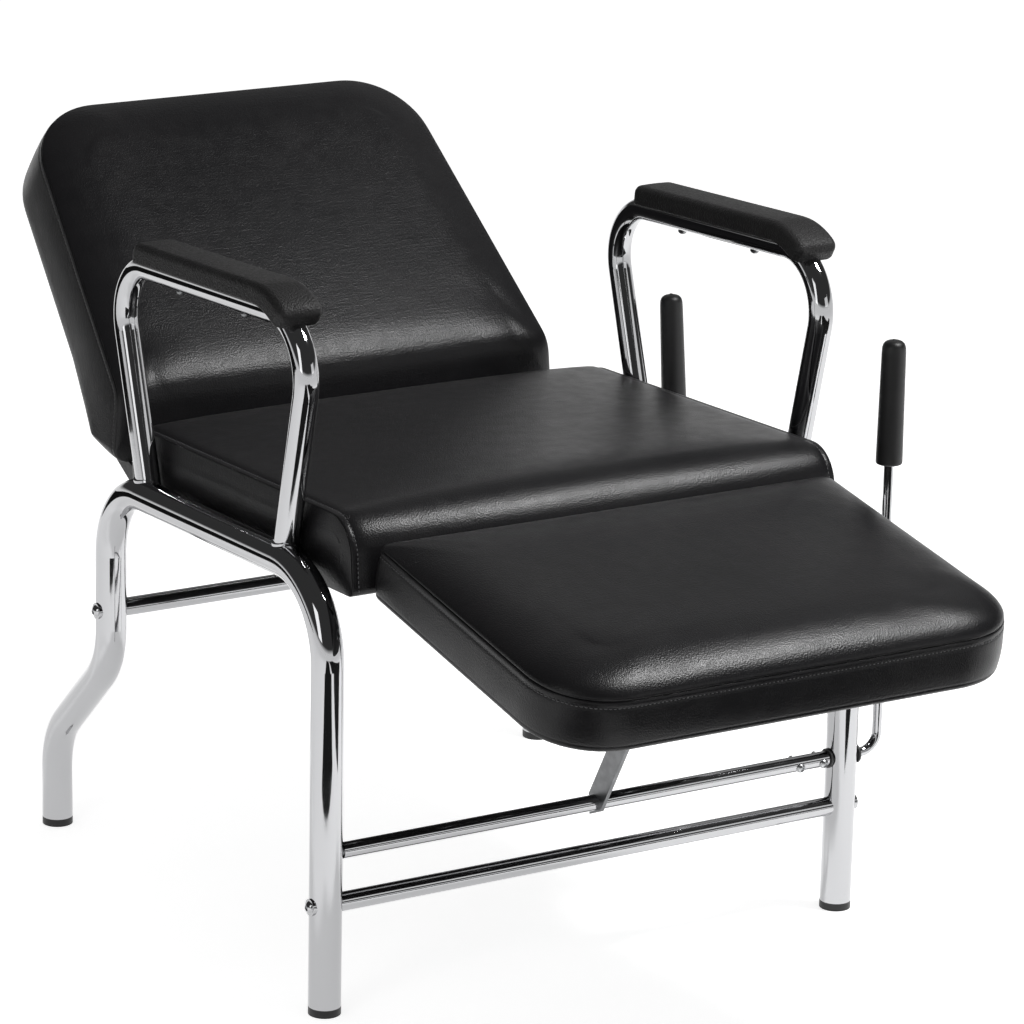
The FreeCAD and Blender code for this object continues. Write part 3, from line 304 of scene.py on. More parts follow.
def vinyl(name, creases):
    """Black vinyl with a fine leather grain; creases are the stretch and depth of its fine soft creases."""
    finish = Finish(name, specular_ior_level=0.26)
    dark, light = (0.0078, 0.0076, 0.0086), (0.0122, 0.0117, 0.0126)
    finish.set("Base Color", finish.colours(finish.noise(7.0), (0.3, dark), (0.7, light)))
    finish.set("Roughness", finish.spread(finish.noise(60.0, 4.0), 0.29, 0.36))
    finish.bump(finish.noise(11.0, 2.0), 0.0012, 0.3)
    for stretch, depth in creases:
        finish.bump(finish.noise(1.0, 3.0, stretch, 0.6, 0.3), depth, 0.6)
    finish.bump(finish.cells(640.0), 0.0003, 0.55)
    return finish.bump(finish.noise(2200.0, 2.0), 0.00008, 0.5).material


def pad_skin():
    """Pebbled skin of a moulded polyurethane pad."""
    finish = Finish("arm_pad_skin", specular_ior_level=0.35)
    dark, light = (0.011, 0.0106, 0.011), (0.017, 0.0163, 0.0167)
    finish.set("Base Color", finish.colours(finish.noise(25.0), (0.3, dark), (0.7, light)))
    finish.set("Roughness", finish.spread(finish.noise(300.0, 3.0), 0.5, 0.64))
    finish.bump(finish.cells(560.0, "SMOOTH_F1"), 0.0009, 0.8)
    return finish.bump(finish.noise(1500.0, 3.0), 0.00015, 0.6).material


def dust_cover():
    """Black non-woven cloth stapled under a cushion."""
    finish = Finish("dust_cover", specular_ior_level=0.15)
    dark, light = (0.008, 0.008, 0.0085), (0.02, 0.02, 0.021)
    finish.set("Base Color", finish.colours(finish.noise(500.0, 5.0), (0.3, dark), (0.7, light)))
    finish.set("Roughness", finish.spread(finish.noise(200.0), 0.8, 0.95))
    return finish.bump(finish.noise(1800.0, 4.0), 0.0002, 0.6).material


def plastic(name, tone, rough):
    """Satin moulded plastic."""
    finish = Finish(name, roughness=rough, specular_ior_level=0.45)
    dark = tuple(0.7 * c for c in tone)
    finish.set("Base Color", finish.colours(finish.noise(40.0), (0.3, dark), (0.7, tone)))
    finish.set("Roughness", finish.spread(finish.noise(220.0, 4.0), rough - 0.06, rough + 0.06))
    return finish.bump(finish.noise(1500.0, 3.0), 0.00008, 0.5).material


def chrome():
    """Polished plate, with the slight waviness of drawn tube and faint haze."""
    finish = Finish("chrome_tube", metallic=1.0, base_color=(0.47, 0.472, 0.482, 1))
    finish.set("Roughness", finish.spread(finish.noise(35.0, 5.0), 0.03, 0.085))
    return finish.bump(finish.noise(28.0, 2.0), 0.0004, 0.12).material


def plated(name, tone, rough):
    """Plated steel, a little cloudy."""
    finish = Finish(name, metallic=1.0, roughness=rough)
    dark = tuple(0.82 * c for c in tone)
    finish.set("Base Color", finish.colours(finish.noise(90.0, 5.0), (0.3, dark), (0.7, tone)))
    finish.set("Roughness", finish.spread(finish.noise(160.0, 4.0), rough - 0.07, rough + 0.07))
    return finish.bump(finish.noise(700.0, 3.0), 0.00006, 0.5).material


def powder_coat():
    """Black powder coat with a fine orange peel."""
    finish = Finish("black_steel", roughness=0.45, specular_ior_level=0.5)
    dark, light = (0.016, 0.016, 0.017), (0.024, 0.024, 0.025)
    finish.set("Base Color", finish.colours(finish.noise(50.0), (0.3, dark), (0.7, light)))
    finish.set("Roughness", finish.spread(finish.noise(250.0, 3.0), 0.38, 0.52))
    return finish.bump(finish.noise(900.0, 3.0), 0.00012, 0.6).material


def plywood():
    """Face veneer with long grain across the chair."""
    finish = Finish("plywood", roughness=0.62, specular_ior_level=0.3)
    grain = finish.noise(9.0, 6.0, (1.2, 9.0, 14.0), 0.65, 1.2)
    dark, middle, light = (0.33, 0.2, 0.1), (0.52, 0.35, 0.19), (0.62, 0.45, 0.27)
    finish.set("Base Color", finish.colours(grain, (0.3, dark), (0.5, middle), (0.75, light)))
    return finish.bump(finish.noise(60.0, 5.0, (1.0, 10.0, 14.0)), 0.0003, 0.4).material


def thread():
    """Sewing thread, black in itself, coloured dark grey as a painted sheen so that its stitches show as
    light dots.
    """
    finish = Finish("sewing_thread_painted_sheen", roughness=0.6, specular_ior_level=0.35)
    # These grey tones are painted sheen on thread that is black in itself.
    dark, light = (0.085, 0.085, 0.087), (0.14, 0.14, 0.144)
    finish.set("Base Color", finish.colours(finish.noise(900.0), (0.3, dark), (0.7, light)))
    return finish.bump(finish.noise(3500.0, 2.0), 0.00008, 0.6).material


finishes = {
    "black_vinyl": vinyl("black_vinyl", [((60, 260, 260), 0.00014), ((240, 70, 70), 0.0001)]),
    "backrest_vinyl": vinyl("backrest_vinyl", [((45, 330, 330), 0.0003), ((300, 55, 55), 0.0002)]),
    "dust_cover": dust_cover(),
    "arm_pad_skin": pad_skin(),
    "black_plastic": plastic("black_plastic", (0.014, 0.014, 0.0145), 0.42),
    "nylon": plastic("nylon", (0.05, 0.05, 0.05), 0.5),
    "chrome_tube": chrome(),
    "zinc_steel": plated("zinc_steel", (0.6, 0.61, 0.62), 0.36),
    "dull_steel": plated("dull_steel", (0.24, 0.244, 0.25), 0.42),
    "black_steel": powder_coat(),
    "plywood": plywood(),
    "thread": thread(),
}


# Meshes
def unit(vector):
    vector = np.asarray(vector, float)
    return vector / np.linalg.norm(vector, axis=-1, keepdims=True)


def inset(corners, distance):
    """Corners of a convex polygon with its sides moved inwards."""
    corners = np.asarray(corners, float)
    ways = unit(np.roll(corners, -1, 0) - corners)
    centre = corners.mean(0)
    inwards = np.stack([-ways[:, 1], ways[:, 0]], 1)
    inwards *= np.sign(((centre - corners) * inwards).sum(1))[:, None]
    starts = corners + inwards * distance
    moved = []
    for k in range(len(corners)):
        p, d, q, e = starts[k - 1], ways[k - 1], starts[k], ways[k]
        run = ((q[0] - p[0]) * e[1] - (q[1] - p[1]) * e[0]) / (d[0] * e[1] - d[1] * e[0])
        moved.append(p + run * d)
    return np.array(moved)


def outline(corners, radii, counts, arc):
    """Loop round a convex polygon with rounded corners, from the middle of its first corner.
    counts are the steps along each side, and arc is the even number of steps round each corner."""
    corners = np.asarray(corners, float)
    arcs = []
    for k, radius in enumerate(radii):
        before = unit(corners[k - 1] - corners[k])
        after = unit(corners[(k + 1) % len(corners)] - corners[k])
        half = math.acos(np.clip(before @ after, -1, 1)) / 2
        middle = unit(before + after)
        centre = corners[k] + middle * radius / math.sin(half)
        side = unit(before - after)
        turns = np.linspace(half - math.pi / 2, math.pi / 2 - half, arc + 1)
        arcs.append(centre + radius * (np.outer(-np.sin(turns), side) - np.outer(np.cos(turns), middle)))
    loop = []
    for k, count in enumerate(counts):
        start, end = arcs[k][-1], arcs[(k + 1) % len(arcs)][0]
        steps = np.linspace(0, 1, count + 1)[1:-1, None]
        loop += [*arcs[k], *(start + steps * (end - start))]
    return np.roll(np.array(loop), -(arc // 2), 0)


def border_loops(corners, rounds, inner_round, width, counts, arc):
    """Function from a distance inside a panel's edge to the loop there, negative outside the edge.
    The corners have rounds as radii at the edge, and all of them inner_round at width inside it."""
    def loop(distance):
        share = max(distance, 0) / width
        radii = [r + (inner_round - r) * share - min(distance, 0) for r in rounds]
        return outline(inset(corners, distance), radii, counts, arc)
    return loop


def outward(loop):
    """Unit vectors that point out of a closed plane loop."""
    way = unit(np.roll(loop, -1, 0) - np.roll(loop, 1, 0))
    out = np.stack([way[:, 1], -way[:, 0]], 1)
    turn = np.sign((out * (loop - loop.mean(0))).sum())
    return out * turn


def coons(loop, nu, nv):
    """Grid of points inside a closed loop of 2 * (nu + nv) points that starts at a corner."""
    low = loop[:nu + 1]
    right = loop[nu:nu + nv + 1]
    top = loop[nu + nv:2 * nu + nv + 1][::-1]
    left = np.vstack([loop[2 * nu + nv:], loop[:1]])[::-1]
    u = np.linspace(0, 1, nu + 1)[:, None, None]
    v = np.linspace(0, 1, nv + 1)[None, :, None]
    ruled = (1 - v) * low[:, None] + v * top[:, None] + (1 - u) * left[None] + u * right[None]
    corners = (1 - u) * ((1 - v) * low[0] + v * top[0]) + u * ((1 - v) * low[-1] + v * top[-1])
    return ruled - corners


def border_index(nu, nv):
    """Place in the loop of each border point of a grid, or -1 inside."""
    index = np.full((nu + 1, nv + 1), -1)
    index[:, 0] = np.arange(nu + 1)
    index[nu, :] = nu + np.arange(nv + 1)
    index[:, nv] = (2 * nu + nv) - np.arange(nu + 1)
    index[0, 1:] = (2 * (nu + nv) - np.arange(nv + 1))[1:]
    return index


def make_object(name, points, faces, *materials, levels=0):
    """Smooth-shaded object in the scene, subdivided where levels are given."""
    mesh = bpy.data.meshes.new(name)
    mesh.from_pydata([tuple(p) for p in points], [], [tuple(int(i) for i in f) for f in faces])
    mesh.polygons.foreach_set("use_smooth", [True] * len(mesh.polygons))
    for material in materials:
        mesh.materials.append(material)
    made = bpy.data.objects.new(name, mesh)
    bpy.context.scene.collection.objects.link(made)
    if levels:
        smooth = made.modifiers.new("smooth", "SUBSURF")
        smooth.levels = smooth.render_levels = levels
    return made


def lofted(rings, first, last):
    """Points and faces of a closed skin: rings of equal count with a grid over the first and the last.
    A grid's border lies on its ring, so only its inside adds points."""
    count = rings.shape[1]
    points = list(rings.reshape(-1, 3))
    here = np.arange(count)
    after = np.roll(here, -1)
    faces = []
    for k in range(len(rings) - 1):
        low, high = k * count, (k + 1) * count
        faces += list(np.stack([low + here, low + after, high + after, high + here], 1))
    for base, grid, turned in ((0, first, True), ((len(rings) - 1) * count, last, False)):
        nu, nv = grid.shape[0] - 1, grid.shape[1] - 1
        index = border_index(nu, nv)
        index = np.where(index >= 0, index % count + base, index)
        inner = np.argwhere(index < 0)
        index[inner[:, 0], inner[:, 1]] = len(points) + np.arange(len(inner))
        points += list(grid[inner[:, 0], inner[:, 1]])
        quads = np.stack([index[:-1, :-1], index[1:, :-1], index[1:, 1:], index[:-1, 1:]], -1)
        quads = quads.reshape(-1, 4)
        faces += list(quads[:, ::-1] if turned else quads)
    return np.array(points), faces


def facing_out(points, faces):
    """The faces, turned round if they make a skin with its inside out."""
    quads = np.array([points[list(f)] for f in faces])
    volume = (np.cross(quads[:, 1] - quads[:, 0], quads[:, 2] - quads[:, 0]) * quads[:, 0]).sum()
    return faces if volume > 0 else [f[::-1] for f in faces]


def eased(piece, amount, held):
    """Evens an amount at each point out with its neighbours', with none at the held points."""
    pairs = np.array([edge.vertices[:] for edge in piece.data.edges])
    first, second = pairs[:, 0], pairs[:, 1]
    count = len(amount)
    degree = np.bincount(pairs.ravel(), minlength=count)
    for _ in range(PUFF_EASING):
        near = np.bincount(first, amount[second], count) + np.bincount(second, amount[first], count)
        amount = (amount + near / degree) / 2
        amount[held] = 0
    return amount


def puffed(piece, held):
    """Lets air pressure swell the free panels of a sewn cover, as the foam does, and keeps the result."""
    count = len(piece.data.vertices)
    rest = np.empty(count * 3)
    piece.data.vertices.foreach_get("co", rest)
    group = piece.vertex_groups.new(name="held")
    group.add([int(i) for i in held], 1.0, "REPLACE")
    cloth = piece.modifiers.new("cloth", "CLOTH")
    settings = cloth.settings
    settings.quality = 4
    settings.mass = 0.4
    settings.tension_stiffness = settings.compression_stiffness = settings.shear_stiffness = 25
    settings.bending_stiffness = 2
    settings.effector_weights.gravity = 0
    settings.vertex_group_mass = group.name
    settings.use_pressure = True
    settings.uniform_pressure_force = PUFF_PRESSURE
    cloth.collision_settings.use_collision = False
    cloth.point_cache.frame_end = PUFF_FRAMES
    scene = bpy.context.scene
    for step in range(1, PUFF_FRAMES + 1):
        scene.frame_set(step)
    shown = piece.evaluated_get(bpy.context.evaluated_depsgraph_get()).data
    swollen = np.empty(count * 3)
    shown.vertices.foreach_get("co", swollen)
    piece.modifiers.remove(cloth)
    scene.frame_set(1)
    normals = np.array([v.normal for v in piece.data.vertices])
    swell = ((swollen - rest).reshape(-1, 3) * normals).sum(1)
    limit = PUFF_LIMIT * MM
    swell = eased(piece, limit * np.tanh(swell / limit), held)
    piece.data.vertices.foreach_set("co", (rest.reshape(-1, 3) + normals * swell[:, None]).ravel())
    piece.data.update()


def cushion(name, rings, first, last, held_rows, below, replaced, body, materials=("black_vinyl",)):
    """Sewn cushion: its skin is puffed with the held rows and its underside in place, then smoothed.
    below points out of the underside, and a second material covers that."""
    points, faces = lofted(rings, first, last)
    piece = make_object(name, points, facing_out(points, faces), *(finishes[m] for m in materials))
    for face in piece.data.polygons:
        face.material_index = len(materials) - 1 if face.normal.dot(below) > FLAT_UNDERSIDE else 0
    count = rings.shape[1]
    depth = points @ np.array(below)
    held = {k * count + j for k in held_rows for j in range(count)}
    held.update(np.flatnonzero(depth > depth.max() - UNDERSIDE_DEPTH * MM))
    puffed(piece, sorted(held))
    smooth = piece.modifiers.new("smooth", "SUBSURF")
    smooth.levels = smooth.render_levels = 1
    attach(piece, body)
    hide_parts(*replaced)
    return piece


def stitches(name, piece, lines, body):
    """Row of thread stitches along rows of a cushion's points; each line is a list of their numbers."""
    places = np.array([v.co for v in piece.data.vertices])
    facing = np.array([v.normal for v in piece.data.vertices])
    around = np.linspace(0, 2 * math.pi, STITCH_SIDES + 1)[:-1]
    along = np.linspace(-0.5, 0.5, STITCH_RINGS)
    bow = np.cos(along * math.pi) ** 0.6
    points = []
    faces = []
    for line in lines:
        spots, ups = places[line], facing[line]
        steps = np.linalg.norm(np.diff(spots, axis=0), axis=1)
        run = np.concatenate([[0], np.cumsum(steps)])
        marks = np.arange(0.5, int(run[-1] / (STITCH_PITCH * MM))) * STITCH_PITCH * MM
        centres = np.stack([np.interp(marks, run, spots[:, c]) for c in range(3)], 1)
        ahead = np.stack([np.interp(marks + 0.5 * MM, run, spots[:, c]) for c in range(3)], 1)
        up = unit(np.stack([np.interp(marks, run, ups[:, c]) for c in range(3)], 1))
        way = unit(ahead - centres)
        side = np.cross(way, up)
        for centre, t, n, s in zip(centres, way, up, side):
            base = len(points)
            for step, lift in zip(along, bow):
                raised = (lift - STITCH_BURIED) * STITCH_RADIUS * MM
                middle = centre + t * (step * STITCH_LENGTH * MM) + n * raised
                radius = STITCH_RADIUS * MM * (STITCH_END + (1 - STITCH_END) * lift)
                points += [middle + radius * (math.cos(a) * s + math.sin(a) * n) for a in around]
            rows = len(along)
            cols = len(around)
            for i in range(rows - 1):
                for j in range(cols):
                    k = (j + 1) % cols
                    faces.append((base + i * cols + j, base + i * cols + k,
                                  base + (i + 1) * cols + k, base + (i + 1) * cols + j))
            faces.append(tuple(base + j for j in reversed(range(cols))))
            faces.append(tuple(base + (rows - 1) * cols + j for j in range(cols)))
    row = make_object(name, points, faces, finishes["thread"])
    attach(row, body)
    return row


def roll(share):
    """Height of a rolled edge, from 0 at its seam to 1 where the flat face starts."""
    return (1 - (1 - share) ** 3) ** 0.6


def full_roll(share):
    """The same for a fuller edge, whose face starts to turn down further in."""
    return np.sqrt(1 - (1 - share) ** 2.4)


def dome(across, along):
    """Height of a soft crown over a panel, 1 in its middle and 0 at its border.
    across and along go from 0 in the middle to 1 at the border."""
    return (np.maximum(1 - across ** 2, 0) * np.maximum(1 - along ** 2, 0)) ** 2


# Leg rest cushion
def make_legrest():
    corners = [(-LEG_HALF, 0), (LEG_HALF, 0), (LEG_HALF, LEG_LENGTH), (-LEG_HALF, LEG_LENGTH)]
    loop = border_loops(corners, LEG_ROUNDS, LEG_TOP_ROUND, LEG_ROLL,
                        LEG_SIDE_STEPS, LEG_CORNER_STEPS)
    nu, nv = (steps + LEG_CORNER_STEPS for steps in LEG_SIDE_STEPS[:2])
    seam = LEG_SEAM_DEPTH
    stitch = seam + STITCH_OFFSET

    def top_depth(forward, height):
        """Depth of the top where it has risen by this share of its full rise above the seam."""
        proud = LEG_PROUD_REAR + (LEG_PROUD_FRONT - LEG_PROUD_REAR) * forward / LEG_LENGTH
        return seam - SEAM_LIP - (seam + proud) * height

    rings = []
    for share in ROLL_SHARES:
        flat = loop(share * LEG_ROLL)
        rings.append(leg_at(flat[:, 0], flat[:, 1], top_depth(flat[:, 1], full_roll(share))))
    # How far out and how deep each row of the border is: seam, stitches, border, lower seam, underside
    rows = [(0.1, seam - SEAM_LIP), (-SEAM_DEPTH, seam), (-0.2, seam + 0.3), (0.5, seam + 0.9),
            (1.0, seam + 2.2), (1.1, stitch - 1.4), (0.4, stitch), (1.2, stitch + 1.4), (1.6, stitch + 3.5),
            (2.2, 23), (2.6, 30), (2.7, 36), (2.4, 42), (1.9, 46.5), (1.6, 48.8), (0.9, 49.8), (1.4, 50.8),
            (1.1, 53), (-0.6, 55.4), (-3, 56.3), (-LEG_UNDERSIDE_INSET, LEG_UNDERSIDE)]
    for out, depth in rows:
        flat = loop(-out)
        rings.append(leg_at(flat[:, 0], flat[:, 1], np.full(len(flat), depth)))
    top = coons(loop(LEG_ROLL), nu, nv)
    crown = dome(top[..., 0] / (LEG_HALF - LEG_ROLL),
                 (2 * top[..., 1] - LEG_LENGTH) / (LEG_LENGTH - 2 * LEG_ROLL))
    low = coons(loop(LEG_UNDERSIDE_INSET), nu, nv)
    first = leg_at(top[..., 0], top[..., 1], top_depth(top[..., 1], 1.0) - LEG_CROWN * crown)
    last = leg_at(low[..., 0], low[..., 1], np.full(low.shape[:2], LEG_UNDERSIDE))
    seam_row = len(ROLL_SHARES) + 1
    held = [*range(seam_row - HELD_BEFORE_SEAM, seam_row + HELD_AFTER_SEAM),
            *range(len(rings) - LEG_HELD_ROWS, len(rings))]
    below = (0.0, math.sin(LEG_SLOPE), -math.cos(LEG_SLOPE))
    piece = cushion("legrest_cushion", np.array(rings), first, last, held, below,
                    ("legrest_cover", "legrest_foam"), "legrest", ("black_vinyl", "dust_cover"))
    count = len(rings[0])
    row = (seam_row + STITCH_ROW) * count
    stitches("legrest_stitching", piece, [[*range(row, row + count), row]], "legrest")


# Backrest cushion
def back_face(s):
    """Point in v and n on the front face at a distance s down from the top, and its outward direction."""
    bend = BACK_RECLINE
    run = BACK_KNEE_ROUND * math.tan(bend / 2)
    start = BACK_LENGTH - run
    turn = np.clip((s - start) / BACK_KNEE_ROUND, 0, bend)
    before = np.minimum(s, start)
    after = np.maximum(s - start - BACK_KNEE_ROUND * bend, 0)
    v = BACK_LENGTH - before - BACK_KNEE_ROUND * np.sin(turn) - after * math.cos(bend)
    n = BACK_KNEE_ROUND * (1 - np.cos(turn)) + after * math.sin(bend)
    return v, n, np.stack([-np.sin(turn), -np.cos(turn)], -1)


def make_backrest():
    bend = BACK_RECLINE
    run = BACK_KNEE_ROUND * math.tan(bend / 2)
    end = BACK_LENGTH - 2 * run + BACK_KNEE_ROUND * bend + BACK_DROP
    corners = [(-BACK_LOW_HALF, end), (BACK_LOW_HALF, end), (BACK_TOP_HALF, 0), (-BACK_TOP_HALF, 0)]
    loop = border_loops(corners, BACK_ROUNDS, BACK_FACE_ROUND, BACK_ROLL,
                        BACK_SIDE_STEPS, BACK_CORNER_STEPS)
    nu, nv = (steps + BACK_CORNER_STEPS for steps in BACK_SIDE_STEPS[:2])
    slant = math.tan(bend + BACK_UNDERSIDE_RISE)
    heel = BACK_DROP * math.cos(bend) - (BACK_THICK - BACK_DROP * math.sin(bend)) * slant
    straight = BACK_STRAIGHT_SHARE * end
    rise = BACK_SEAM_DROP + BACK_PROUD

    def on_face(flat, height):
        v, n, out = back_face(flat[..., 1])
        return v + out[..., 0] * height, n + out[..., 1] * height

    def rear_v(s):
        """Where a line across the side panel meets the back."""
        at_straight = BACK_LENGTH - straight
        share = np.clip((s - straight) / (end - straight), 0, 1)
        return np.where(s < straight, BACK_LENGTH - s, at_straight - share * (at_straight + heel))

    rings = []
    for share in ROLL_SHARES:
        flat = loop(share * BACK_ROLL)
        v, n = on_face(flat, np.full(len(flat), rise * roll(share) + SEAM_LIP - BACK_SEAM_DROP))
        rings.append(back_at(flat[:, 0], v, n))
    depth = BACK_THICK - BACK_SEAM_DROP
    stitch = STITCH_OFFSET
    # How far out and how far back each row of the side panel is: seam, stitches, side, rear edge
    rows = [(0.1, -SEAM_LIP), (-SEAM_DEPTH, 0), (0.1, SEAM_LIP), (0.5, 1.3), (0.9, 2.8),
            (1.1, stitch - 1.4), (0.4, stitch), (1.2, stitch + 1.4), (1.6, stitch + 3.5),
            (2.1, 18), (2.4, 28), (2.5, 38), (2.4, 48), (2.3, 56), (2.2, 63), (1.8, 69), (1.0, 73),
            (-0.4, 75.8), (-2.8, depth + 1.0), (-8, depth + 1.1), (-17, depth + 1.0)]
    edge = loop(0)
    out = outward(edge)
    front_v, front_n = on_face(edge, np.full(len(edge), -BACK_SEAM_DROP))
    back_v = rear_v(edge[:, 1])
    _, _, facing = back_face(edge[:, 1])
    tangent = np.stack([facing[:, 1], -facing[:, 0]], 1)
    for proud, into in rows:
        share = into / depth
        # Outwards turns from along the front face to along the back towards the rear edge
        turned = min(share, 1) ** 4
        way = (1 - turned) * tangent + turned * np.array([-1.0, 0.0])
        x = edge[:, 0] + out[:, 0] * proud
        v = front_v + (back_v - front_v) * share + out[:, 1] * way[:, 0] * proud
        n = front_n + (BACK_THICK - front_n) * share + out[:, 1] * way[:, 1] * proud
        rings.append(back_at(x, v, n))
    face = coons(loop(BACK_ROLL), nu, nv)
    crown = dome(face[..., 0] / (BACK_TOP_HALF - BACK_ROLL),
                 (2 * face[..., 1] - end) / (end - 2 * BACK_ROLL))
    v, n = on_face(face, SEAM_LIP + BACK_PROUD + BACK_CROWN * crown)
    first = back_at(face[..., 0], v, n)
    rear = coons(rings[-1], nu, nv)
    seam_row = len(ROLL_SHARES) + 1
    held = [*range(seam_row - HELD_BEFORE_SEAM, seam_row + HELD_AFTER_SEAM),
            *range(len(rings) - BACK_HELD_ROWS, len(rings))]
    below = (0.0, math.cos(BACK_RECLINE), -math.sin(BACK_RECLINE))
    piece = cushion("backrest_cushion", np.array(rings), first, rear, held, below,
                    ("backrest_cover", "backrest_foam"), "backrest", ("backrest_vinyl",))
    count = len(rings[0])
    row = (seam_row + STITCH_ROW) * count
    stitches("backrest_stitching", piece, [[*range(row, row + count), row]], "backrest")


# Seat cushion
def make_seat():
    low = SEAT_UNDERSIDE
    corners = [(SEAT_REAR_Y, low), (SEAT_FRONT_Y, low),
               (SEAT_FRONT_Y, SEAT_THICK), (SEAT_REAR_Y, SEAT_THICK)]
    loop = border_loops(corners, SEAT_ROUNDS, SEAT_PANEL_ROUND, SEAT_PANEL,
                        SEAT_SIDE_STEPS, SEAT_CORNER_STEPS)
    nu, nv = (steps + SEAT_CORNER_STEPS for steps in SEAT_SIDE_STEPS[:2])
    edge = loop(0)
    out = outward(edge)
    weight = np.clip((edge[:, 1] - low) / SEAT_FADE, 0, 1)
    weight = weight * weight * (3 - 2 * weight)

    def around(x, proud):
        """Loop round the seat at x, moved out by proud everywhere but underneath."""
        y = edge[:, 0] + out[:, 0] * proud * weight
        w = edge[:, 1] + out[:, 1] * proud * weight
        return seat_at(np.full(len(edge), x), y, w)

    def crowned(x):
        """How far the top stands out at x: a broad crown with a rounded shoulder beside the seam."""
        across = min(abs(x) / SEAT_HALF, 1)
        shoulder = roll(np.clip((SEAT_HALF - abs(x)) / SEAT_SHOULDER, 0, 1))
        broad, beside = SEAT_CROWN_SHARES
        return SEAT_CROWN * (broad * (1 - across ** 3) + beside * shoulder) - SEAT_SEAM_DROP

    def lowered(w):
        """Heights on a side panel, shrunk so that the panel ends at the lowered seam."""
        return low + (w - low) * (SEAT_THICK - SEAT_SEAM_DROP - low) / (SEAT_THICK - low)

    inner = SEAT_HALF - SEAT_TOP_INSET
    steps = round(2 * inner / SEAT_PITCH)
    spread = np.linspace(inner, -inner, steps + 1)
    # Rows of a side panel, by their distance inside its edge and how far they stand out sideways
    half_rows = [(SEAT_PANEL, SEAT_SIDE_PUFF), (11.0, 1.9), (7.0, 1.3), (4.0, 0.8), (2.0, 0.4),
                 (1.1, 0.15), (0.5, 0.0)]
    # Rows of the top beside the seam, by their place in x past the edge and how far they stand out
    edge_rows = [(0.1, -0.3), (-1.1, -SEAM_DEPTH), (-0.6, 0.0), (-1.5, 0.35), (-3.2, 0.7),
                 (-STITCH_OFFSET + 1.4, 0.95), (-STITCH_OFFSET, 0.4), (-STITCH_OFFSET - 1.4, 1.4),
                 (-10.5, 2.3)]
    rings = []
    for side in (1, -1):
        rows = []
        for distance, puff in half_rows:
            sunk = loop(distance)
            # The panel's front is drawn back as its top is lowered
            drop = SEAT_SEAM_DROP * np.clip((sunk[:, 1] - low) / SEAT_FADE, 0, 1)
            back = drop * (sunk[:, 0] - SEAT_FRONT_START) / -SEAT_FRONT_REACH
            y = np.where(sunk[:, 0] < SEAT_FRONT_START, sunk[:, 0] + back, sunk[:, 0])
            rows.append(seat_at(np.full(len(sunk), side * (SEAT_HALF + puff)), y, lowered(sunk[:, 1])))
        for along, proud in edge_rows:
            rows.append(around(side * (SEAT_HALF + along), proud - SEAT_SEAM_DROP))
        rings += rows if side > 0 else rows[::-1]
        if side > 0:
            rings += [around(x, crowned(x)) for x in spread]
    rings = np.array(rings)
    ends = []
    for side in (1, -1):
        face = coons(loop(SEAT_PANEL), nu, nv)
        middle = (SEAT_FRONT_Y + SEAT_REAR_Y) / 2
        reach = (SEAT_REAR_Y - SEAT_FRONT_Y) / 2
        along = (face[..., 0] - middle) / reach
        up = 2 * face[..., 1] / SEAT_THICK - 1
        bulge = (1 - along ** 2) * (1 - up ** 2)
        x = side * (SEAT_HALF + SEAT_SIDE_PUFF + SEAT_SIDE_BULGE * bulge)
        ends.append(seat_at(x, face[..., 0], lowered(face[..., 1])))
    edge_count = len(half_rows) + len(edge_rows)
    seam_row = len(half_rows) + 1
    near = [*range(seam_row - HELD_BEFORE_SEAM, edge_count)]
    far = [len(rings) - 1 - k for k in near]
    below = (0.0, -math.sin(SEAT_TILT), -math.cos(SEAT_TILT))
    piece = cushion("seat_cushion", rings, ends[0], ends[1], near + far, below,
                    ("seat_cover", "seat_foam"), "frame", ("black_vinyl", "dust_cover"))
    count = rings.shape[1]
    # The stitches run up the front, over the top and down the rear, and leave the underside out
    shown = np.flatnonzero(edge[:, 1] > low + SEAT_STITCHED_ABOVE)
    stitch_row = seam_row + STITCH_ROW
    lines = [[int(k * count + j) for j in shown] for k in (stitch_row, len(rings) - 1 - stitch_row)]
    stitches("seat_stitching", piece, lines, "frame")


